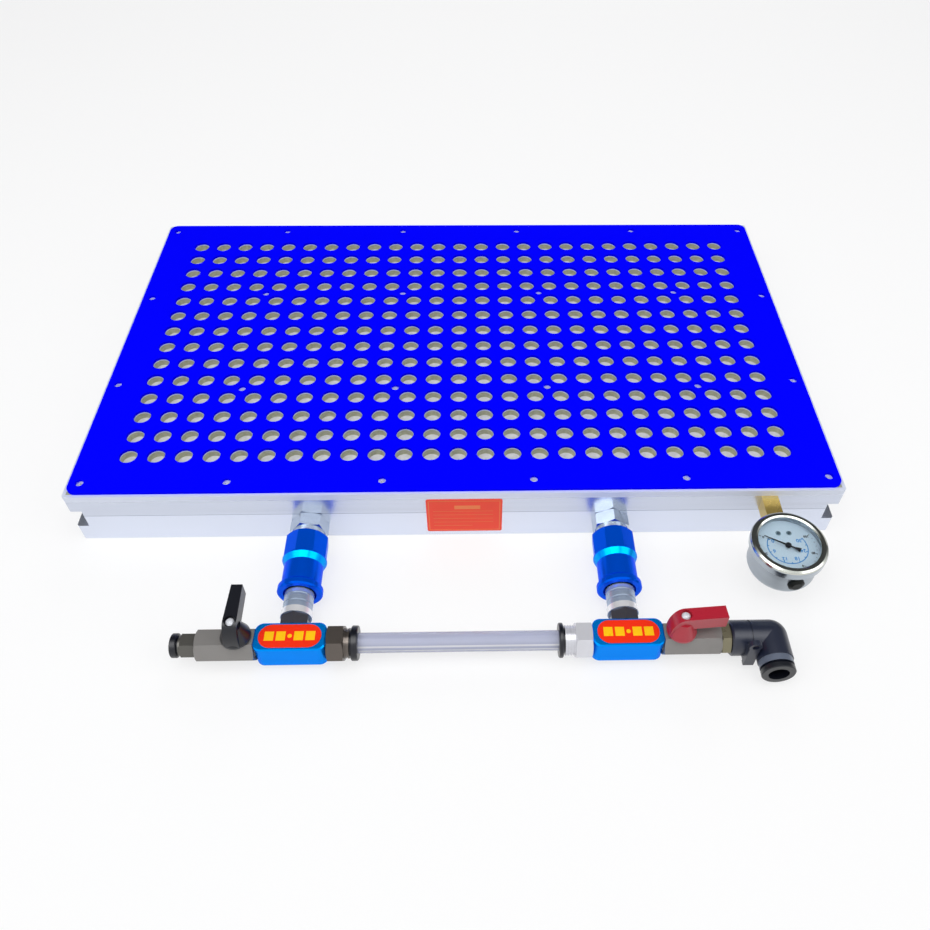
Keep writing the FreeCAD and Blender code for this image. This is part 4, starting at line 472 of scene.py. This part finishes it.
class CHUCK_OT_couplers(bpy.types.Operator):
    """Finish the quick couplers"""

    bl_idname = "chuck.couplers"
    bl_label = "Quick couplers"

    def execute(self, context):
        tint, size = colours(), sizes()
        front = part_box("chamber_base")[0].y
        sleeve = finish(
            "anodised_sleeve", tint.anodised_sleeve, low=0.18, high=0.25, metal=0.6, cloud=60, darker=0.1,
            lines=(0, 1, 0), bump=0.02, Specular_Tint=BLUE_SHEEN, Specular_IOR_Level=0.15,
            # The cone band is a painted highlight on the sleeves
            bands=[("Y", front - size.cone_end, front - size.cone_start, tint.sleeve_cone_highlight)],
        )
        wear(sleeve, *both("coupler_sleeve"))
        bright = finish(
            "bright_nickel", tint.bright_nickel, low=0.16, high=0.26, metal=1.0, cloud=80, darker=0.14,
            lines=(0, 1, 0), bump=0.05,
        )
        wear(bright, *both("coupler_socket", "stop_ring"))
        plug = finish(
            "turned_nickel", tint.plug_nickel, low=0.2, high=0.3, metal=0.5, cloud=80, darker=0.14,
            lines=(0, 1, 0), bump=0.12,
            bands=[
                ("Y", front - size.plug_hex, front - size.plug_collar, tint.plug_white),
                ("Y", front - 2 * size.plug_hex, front - size.plug_hex, tint.plug_dark),
            ],
        )
        wear(plug, *both("coupler_plug"))
        steel = finish("polished_steel", tint.steel, low=0.14, high=0.22, metal=1.0, cloud=200, darker=0.1)
        wear(steel, *both("locking_balls", "sleeve_spring", "valve_stem"))
        return {"FINISHED"}


class CHUCK_OT_manifold(bpy.types.Operator):
    """Finish the manifold blocks, tube and tube fittings"""

    bl_idname = "chuck.manifold"
    bl_label = "Manifold"

    def execute(self, context):
        tint = colours()
        block = finish(
            "anodised_block", tint.anodised_block, low=0.22, high=0.30, metal=0.7, stretch=(0.15, 1, 1),
            cloud=120, darker=0.1, bump=0.03, Specular_Tint=BLUE_SHEEN, Specular_IOR_Level=0.1,
        )
        wear(block, *both("manifold_block"))
        nickel = finish(
            "satin_nickel", tint.nickel, low=0.3, high=0.42, metal=0.3, cloud=70, darker=0.16,
            lines=(1, 0, 0), bump=0.04,
        )
        wear(nickel, *both("valve_body", "end_insert", "valve_ball"))
        for name, shade, metal, node in (
            ("drain_nickel", tint.drain_nickel, 0.5, "drain_fitting"),
            ("dark_nickel", tint.dark_nickel, 0.7, "left_tube_fitting"),
            ("light_nickel", tint.light_nickel, 0.35, "right_tube_fitting"),
        ):
            plated = finish(
                name, shade, low=0.2, high=0.3, metal=metal, cloud=70, darker=0.16, lines=(1, 0, 0), bump=0.04
            )
            wear(plated, node)
        height = middle("clear_tube").z
        clear = finish(
            "clear_tube_wall", tint.tube, low=0.08, high=0.24, stretch=(0.01, 1, 1), cloud=420, darker=0.3,
            Transmission_Weight=0.45, IOR=1.35,
            # Bands of painted highlight along the tube
            bands=[("Z", height + low * MM, height + high * MM, tint.tube_streak_highlight)
                   for low, high in TUBE_HIGHLIGHT_STREAKS],
        )
        wear(clear, "clear_tube")
        wear(finish("valve_seat", tint.seat, low=0.5, high=0.6), *both("ball_seats"))
        return {"FINISHED"}


class CHUCK_OT_plastics(bpy.types.Operator):
    """Finish the levers, the release collars and the elbow"""

    bl_idname = "chuck.plastics"
    bl_label = "Levers, collars and elbow"

    def execute(self, context):
        tint = colours()
        black = finish("black_plastic", tint.black_plastic, low=0.24, high=0.34, cloud=80, darker=0.2)
        wear(black, "left_valve_lever", *both("tube_collar"), "drain_collar", "elbow_collar")
        red = finish(
            "red_plastic", tint.red_plastic, low=0.26, high=0.34, cloud=60, darker=0.12,
            Specular_IOR_Level=0.75,
        )
        wear(red, "right_valve_lever")
        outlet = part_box("push_in_elbow")[0].y
        moulded = finish(
            "elbow_plastic", tint.elbow_plastic, low=0.28, high=0.38, cloud=60, darker=0.15,
            bands=[("Y", outlet, outlet + sizes().elbow_band, tint.elbow_band)], Specular_IOR_Level=0.7,
        )
        wear(moulded, "push_in_elbow")
        adapter = finish(
            "pale_brass", tint.pale_brass, low=0.24, high=0.34, metal=0.6, darker=0.15, lines=(1, 0, 0)
        )
        wear(adapter, "elbow_adapter")
        return {"FINISHED"}


class CHUCK_OT_gauge(bpy.types.Operator):
    """Finish the gauge and print its dial"""

    bl_idname = "chuck.gauge"
    bl_label = "Gauge"

    def execute(self, context):
        tint = colours()
        low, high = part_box("gauge_bezel")
        steel = finish(
            "gauge_stainless", tint.stainless, low=0.12, high=0.20, metal=1.0, cloud=60, darker=0.1,
            bands=[("Z", low.z - MM, high.z - sizes().bezel_rim, tint.case_steel)],
        )
        wear(steel, "gauge_bezel")
        case = finish(
            "brushed_case", tint.case_steel, low=0.3, high=0.4, metal=0.85, stretch=(1, 1, 6), darker=0.12,
            lines=(0, 0, 1), bump=0.06,
        )
        wear(case, "gauge_case")
        wear(finish("gauge_brass", tint.brass, low=0.22, high=0.34, metal=0.8, darker=0.18),
             "gauge_stem", "gauge_movement", "bourdon_tube")
        wear(finish("dial_ground", tint.dial_white, low=0.4, high=0.5, darker=0.03), "gauge_dial")
        ink = finish("dial_ink", tint.dial_ink, low=0.4, high=0.5, darker=0.05)
        wear(ink, "gauge_pointer")
        wear(finish("dial_screw_steel", tint.dial_screw, metal=0.4, darker=0.05), "dial_screws")
        plug = finish("plug_rubber", tint.rubber, low=0.35, high=0.5, Specular_IOR_Level=0.2)
        wear(plug, "gauge_fill_plug")
        glass = finish(
            "gauge_glass", (0.96, 0.98, 1.0), low=0.01, high=0.03, darker=0.0, bump=0.0,
            Transmission_Weight=1.0, IOR=1.45,
        )
        wear(glass, "gauge_window")
        self.print_outer_scale(ink)
        blue = finish("dial_blue_ink", tint.dial_blue, low=0.4, high=0.5, darker=0.08)
        self.print_inner_scale(blue)
        self.print_screw_marks(finish("screw_mark_ink", tint.screw_mark, low=0.4, high=0.5, darker=0.05))
        return {"FINISHED"}

    def centre(self):
        """The middle of the dial's printed face."""
        place = middle("gauge_dial")
        place.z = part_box("gauge_dial")[1].z + sizes().print_lift / 2
        return place

    def ticks(self, name, radius, length, width, count):
        """Ticks on the dial's arc: one bar, duplicated round the dial's centre."""
        centre = self.centre()
        bar = new_bar(
            name, (centre.x + radius - length / 2, centre.y, centre.z), (length, width, sizes().print_lift)
        )
        bpy.ops.object.mode_set(mode="EDIT")
        bpy.ops.mesh.select_all(action="SELECT")
        bpy.ops.transform.rotate(value=-math.radians(DIAL_START), orient_axis="Z", center_override=centre)
        bpy.ops.mesh.spin(
            steps=count, dupli=True, angle=-math.radians(DIAL_SWEEP), center=centre, axis=(0, 0, 1)
        )
        bpy.ops.object.mode_set(mode="OBJECT")
        return bar

    def numbers(self, words, radius, height):
        """Numbers on the dial's arc, upright to a reader behind the chuck, as meshes."""
        centre = self.centre()
        things = []
        for index, word in enumerate(words):
            angle = math.radians(DIAL_START + DIAL_SWEEP * index / (len(words) - 1))
            deselect_all()
            bpy.ops.object.text_add(rotation=(0, 0, math.pi), location=(
                centre.x + radius * math.cos(angle), centre.y + radius * math.sin(angle), centre.z
            ))
            thing = bpy.context.object
            thing.data.body = word
            thing.data.size = height
            thing.data.align_x = "CENTER"
            thing.data.align_y = "CENTER"
            thing.data.extrude = sizes().print_lift / 2
            thing.data.offset = sizes().dial_number_weight
            bpy.ops.object.convert(target="MESH")
            bpy.ops.object.transform_apply(location=True, rotation=True, scale=True)
            things.append(thing)
        return things

    def print_outer_scale(self, ink):
        size = sizes()
        radius, length, width = size.dial_tick_radius, size.dial_tick_length, size.dial_tick_width
        long_ticks = self.ticks("long_ticks", radius, length, width, 5)
        short_ticks = self.ticks("short_ticks", radius, 0.55 * length, 0.6 * width, 25)
        digits = self.numbers(
            ("0", "20", "40", "60", "80", "100"), radius - size.dial_number_inset, size.dial_number_size
        )
        scale = join("dial_outer_scale", [long_ticks, short_ticks, *digits])
        finished(scale, ink, "chuck")

    def print_inner_scale(self, ink):
        size = sizes()
        radius, line = size.dial_scale_radius, size.dial_scale_line
        step = radius * math.radians(DIAL_SWEEP) / DIAL_STEPS
        arc = self.ticks("inner_arc", radius, line, step * 1.1, DIAL_STEPS)
        marks = self.ticks("inner_marks", radius, size.dial_scale_mark, line, 10)
        digits = self.numbers(
            ("0", "6", "12", "18", "24", "30"), radius - size.dial_inner_inset, size.dial_inner_size
        )
        scale = join("dial_inner_scale", [arc, marks, *digits])
        finished(scale, ink, "chuck")

    def print_screw_marks(self, ink):
        """A ring round each of the dial's two screws."""
        size = sizes()
        low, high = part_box("dial_screws")
        head = (high.y - low.y) / 2
        height = self.centre().z
        marks = [
            new_disc("screw_mark", (x, low.y + head, height), size.screw_mark, size.print_lift)
            for x in (low.x + head, high.x - head)
        ]
        finished(join("dial_screw_marks", marks), ink, "chuck")


class CHUCK_OT_labels(bpy.types.Operator):
    """Finish the labels and print their plain marks"""

    bl_idname = "chuck.labels"
    bl_label = "Labels"

    def execute(self, context):
        tint = colours()
        film = finish("label_film", tint.label_red, low=0.3, high=0.4, cloud=60, darker=0.05)
        wear(film, "front_label")
        print_ink = finish("label_print", tint.label_orange, low=0.3, high=0.4, cloud=60, darker=0.05)
        self.print_front(print_ink)
        ground = finish("block_label_film", tint.mark_red, low=0.22, high=0.3, cloud=60, darker=0.05)
        wear(ground, *both("block_label"))
        yellow = finish("block_label_marks", tint.mark_yellow, low=0.25, high=0.35, cloud=60, darker=0.05)
        for side in ("left", "right"):
            self.print_block(side, yellow)
        return {"FINISHED"}

    def print_front(self, ink):
        """A thin frame, a heading bar and plain rules on the front label."""
        size = sizes()
        low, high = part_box("front_label")
        y = low.y - size.print_lift / 2
        across = high - low - 2 * Vector((size.label_margin, 0, size.label_margin))
        centre = (low + high) / 2
        centre.y = y
        things = [new_frame(
            "label_frame", centre, (across.x, size.print_lift, across.z), size.label_line, up="Y"
        )]
        things.append(new_bar(
            "label_heading", (centre.x + size.heading_shift, y, high.z - across.z * 0.26),
            (across.x * 0.36, size.print_lift, across.z * 0.12),
        ))
        for row in range(5):
            z = low.z + across.z * (0.20 + 0.125 * row)
            width = across.x * (0.84 if row else 0.55)
            x = low.x + size.label_margin + size.label_indent + width / 2
            things.append(new_bar("label_rule", (x, y, z), (width, size.print_lift, 0.8 * size.label_line)))
        finished(join("front_label_print", things), ink, "chuck")

    def print_block(self, side, ink):
        """Two plain squares on each side of a dot."""
        size = sizes()
        centre = middle(f"{side}_block_label")
        centre.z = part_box(f"{side}_block_label")[1].z + size.print_lift / 2
        things = [new_disc("mark_dot", centre, size.mark_dot / 2, size.print_lift)]
        square = (size.mark_size, size.mark_size * 1.1, size.print_lift)
        for step in (-2, -1, 1, 2):
            x = centre.x + math.copysign(size.mark_size * (abs(step) * 1.26 - 0.3), step)
            things.append(new_bar("mark_square", (x, centre.y, centre.z), square))
        finished(join(f"{side}_block_marks", things), ink, "chuck")


class CHUCK_OT_stage(bpy.types.Operator):
    """Set the floor, the lamps, the world and the camera"""

    bl_idname = "chuck.stage"
    bl_label = "Stage"

    def execute(self, context):
        self.floor()
        self.world()
        self.lamps()
        self.camera()
        context.scene.view_settings.view_transform = "Standard"
        return {"FINISHED"}

    def floor(self):
        """A pale floor that camera, glossy and see-through rays find nearly white."""
        deselect_all()
        bpy.ops.mesh.primitive_plane_add(size=12, location=(0, 0, -0.0004))
        plane = bpy.context.object
        plane.name = "studio_floor"
        material = bpy.data.materials.new("studio_floor")
        material.use_nodes = True
        tree = material.node_tree
        surface = tree.nodes["Principled BSDF"]
        surface.inputs["Base Color"].default_value = (0.92, 0.92, 0.92, 1)
        surface.inputs["Roughness"].default_value = 0.9
        surface.inputs["Specular IOR Level"].default_value = 0.1
        glow = add_node(tree, "Emission", (0, -200))
        seen = self.seen_directly(tree)
        share = spread(tree, (-200, -300), seen, 0, 0.72)
        blend = add_node(tree, "MixShader", (500, 0))
        tree.links.new(share, blend.inputs["Fac"])
        tree.links.new(surface.outputs["BSDF"], blend.inputs[1])
        tree.links.new(glow.outputs["Emission"], blend.inputs[2])
        tree.links.new(blend.outputs["Shader"], tree.nodes["Material Output"].inputs["Surface"])
        plane.data.materials.append(material)

    def seen_directly(self, tree):
        """1 for camera, glossy and transmission rays, otherwise 0."""
        path = add_node(tree, "LightPath", (-800, -300))
        total = path.outputs["Is Camera Ray"]
        for number, ray in enumerate(("Is Glossy Ray", "Is Transmission Ray")):
            either = add_node(tree, "Math", (-600 + 180 * number, -300), operation="MAXIMUM")
            tree.links.new(total, either.inputs[0])
            tree.links.new(path.outputs[ray], either.inputs[1])
            total = either.outputs["Value"]
        return total

    def world(self):
        """White to the camera, dark behind the chuck to reflections and soft light to the rest."""
        world = bpy.data.worlds.new("studio")
        bpy.context.scene.world = world
        world.use_nodes = True
        tree = world.node_tree
        soft = tree.nodes["Background"]
        place = add_node(tree, "TexCoord", (-1100, 300))
        parts = add_node(tree, "SeparateXYZ", (-900, 300))
        tree.links.new(place.outputs["Generated"], parts.inputs[0])
        ramp = add_node(tree, "ValToRGB", (-600, 300))
        stops = ramp.color_ramp.elements
        stops[0].position, stops[0].color = 0.0, (1.0, 1.0, 1.0, 1)
        stops[1].position, stops[1].color = 0.75, (0.22, 0.23, 0.26, 1)
        tree.links.new(parts.outputs["Z"], ramp.inputs["Fac"])
        tree.links.new(ramp.outputs["Color"], soft.inputs["Color"])
        soft.inputs["Strength"].default_value = 0.55
        studio = add_node(tree, "Background", (0, 200))
        studio.inputs["Color"].default_value = (0.96, 0.98, 1, 1)
        behind = add_node(tree, "MapRange", (-600, 0))
        behind.inputs["From Min"].default_value = 0.0
        behind.inputs["From Max"].default_value = 0.45
        behind.inputs["To Min"].default_value = 0.95
        behind.inputs["To Max"].default_value = 0.07
        tree.links.new(parts.outputs["Y"], behind.inputs["Value"])
        tree.links.new(behind.outputs["Result"], studio.inputs["Strength"])
        white = add_node(tree, "Background", (0, -100))
        white.inputs["Color"].default_value = (1, 1, 1, 1)
        path = add_node(tree, "LightPath", (-300, 500))
        found = soft
        for number, (ray, seen) in enumerate((("Is Glossy Ray", studio), ("Is Camera Ray", white))):
            blend = add_node(tree, "MixShader", (300 + 200 * number, 100))
            tree.links.new(path.outputs[ray], blend.inputs["Fac"])
            tree.links.new(found.outputs[0], blend.inputs[1])
            tree.links.new(seen.outputs[0], blend.inputs[2])
            found = blend
        tree.links.new(found.outputs["Shader"], tree.nodes["World Output"].inputs["Surface"])

    def lamps(self):
        """A large soft lamp on each side, one overhead and one behind."""
        lamps = (
            ("key_lamp", (-0.9, -0.7, 1.3), 1.2, 10),
            ("fill_lamp", (1.1, -0.5, 1.0), 1.0, 6),
            ("over_lamp", (0.0, -0.35, 1.3), 0.9, 7),
            ("back_lamp", (0.2, 1.3, 1.1), 0.9, 5),
        )
        for name, place, size, power in lamps:
            bpy.ops.object.light_add(type="AREA", location=place)
            lamp = bpy.context.object
            lamp.name = name
            lamp.data.size = size
            lamp.data.energy = power
            lamp.visible_glossy = name != "back_lamp"
            away = Vector(place)
            lamp.rotation_euler = away.to_track_quat("Z", "Y").to_euler()

    def camera(self):
        """The camera where the photographer stood."""
        bpy.ops.object.camera_add(location=(0.0101, -0.4924, 0.4670))
        camera = bpy.context.object
        camera.name = "photo_camera"
        right = Vector((0.9997, -0.0220, 0.0116))
        back = Vector((-0.0234, -0.6721, 0.7401))
        camera.rotation_euler = Matrix((right, back.cross(right), back)).transposed().to_euler()
        camera.data.lens = 33.07
        camera.data.sensor_width = 36
        camera.data.shift_x = -0.0306
        camera.data.shift_y = -0.0226
        camera.data.clip_start = 0.02
        bpy.context.scene.camera = camera


STEPS = (
    CHUCK_OT_body, CHUCK_OT_couplers, CHUCK_OT_manifold, CHUCK_OT_plastics, CHUCK_OT_gauge,
    CHUCK_OT_labels, CHUCK_OT_stage,
)


class CHUCK_PT_panel(bpy.types.Panel):
    """The steps of the chuck's finish"""

    bl_label = "Vacuum Chuck"
    bl_idname = "CHUCK_PT_panel"
    bl_space_type = "VIEW_3D"
    bl_region_type = "UI"
    bl_category = "Chuck"

    def draw(self, context):
        column = self.layout.column(align=True)
        for step in STEPS:
            column.operator(step.bl_idname)
        for group in (context.scene.chuck_sizes, context.scene.chuck_colours):
            box = self.layout.box()
            for name in group.bl_rna.properties.keys()[1:]:
                box.prop(group, name)


CLASSES = (ChuckSizes, ChuckColours, *STEPS, CHUCK_PT_panel)


def register():
    for item in CLASSES:
        bpy.utils.register_class(item)
    bpy.types.Scene.chuck_sizes = bpy.props.PointerProperty(type=ChuckSizes)
    bpy.types.Scene.chuck_colours = bpy.props.PointerProperty(type=ChuckColours)


def unregister():
    del bpy.types.Scene.chuck_colours
    del bpy.types.Scene.chuck_sizes
    for item in reversed(CLASSES):
        bpy.utils.unregister_class(item)


def main():
    """Runs every step."""
    register()
    bpy.ops.chuck.body()
    bpy.ops.chuck.couplers()
    bpy.ops.chuck.manifold()
    bpy.ops.chuck.plastics()
    bpy.ops.chuck.gauge()
    bpy.ops.chuck.labels()
    bpy.ops.chuck.stage()
    bpy.context.view_layer.update()


if __name__ == "__main__":
    main()
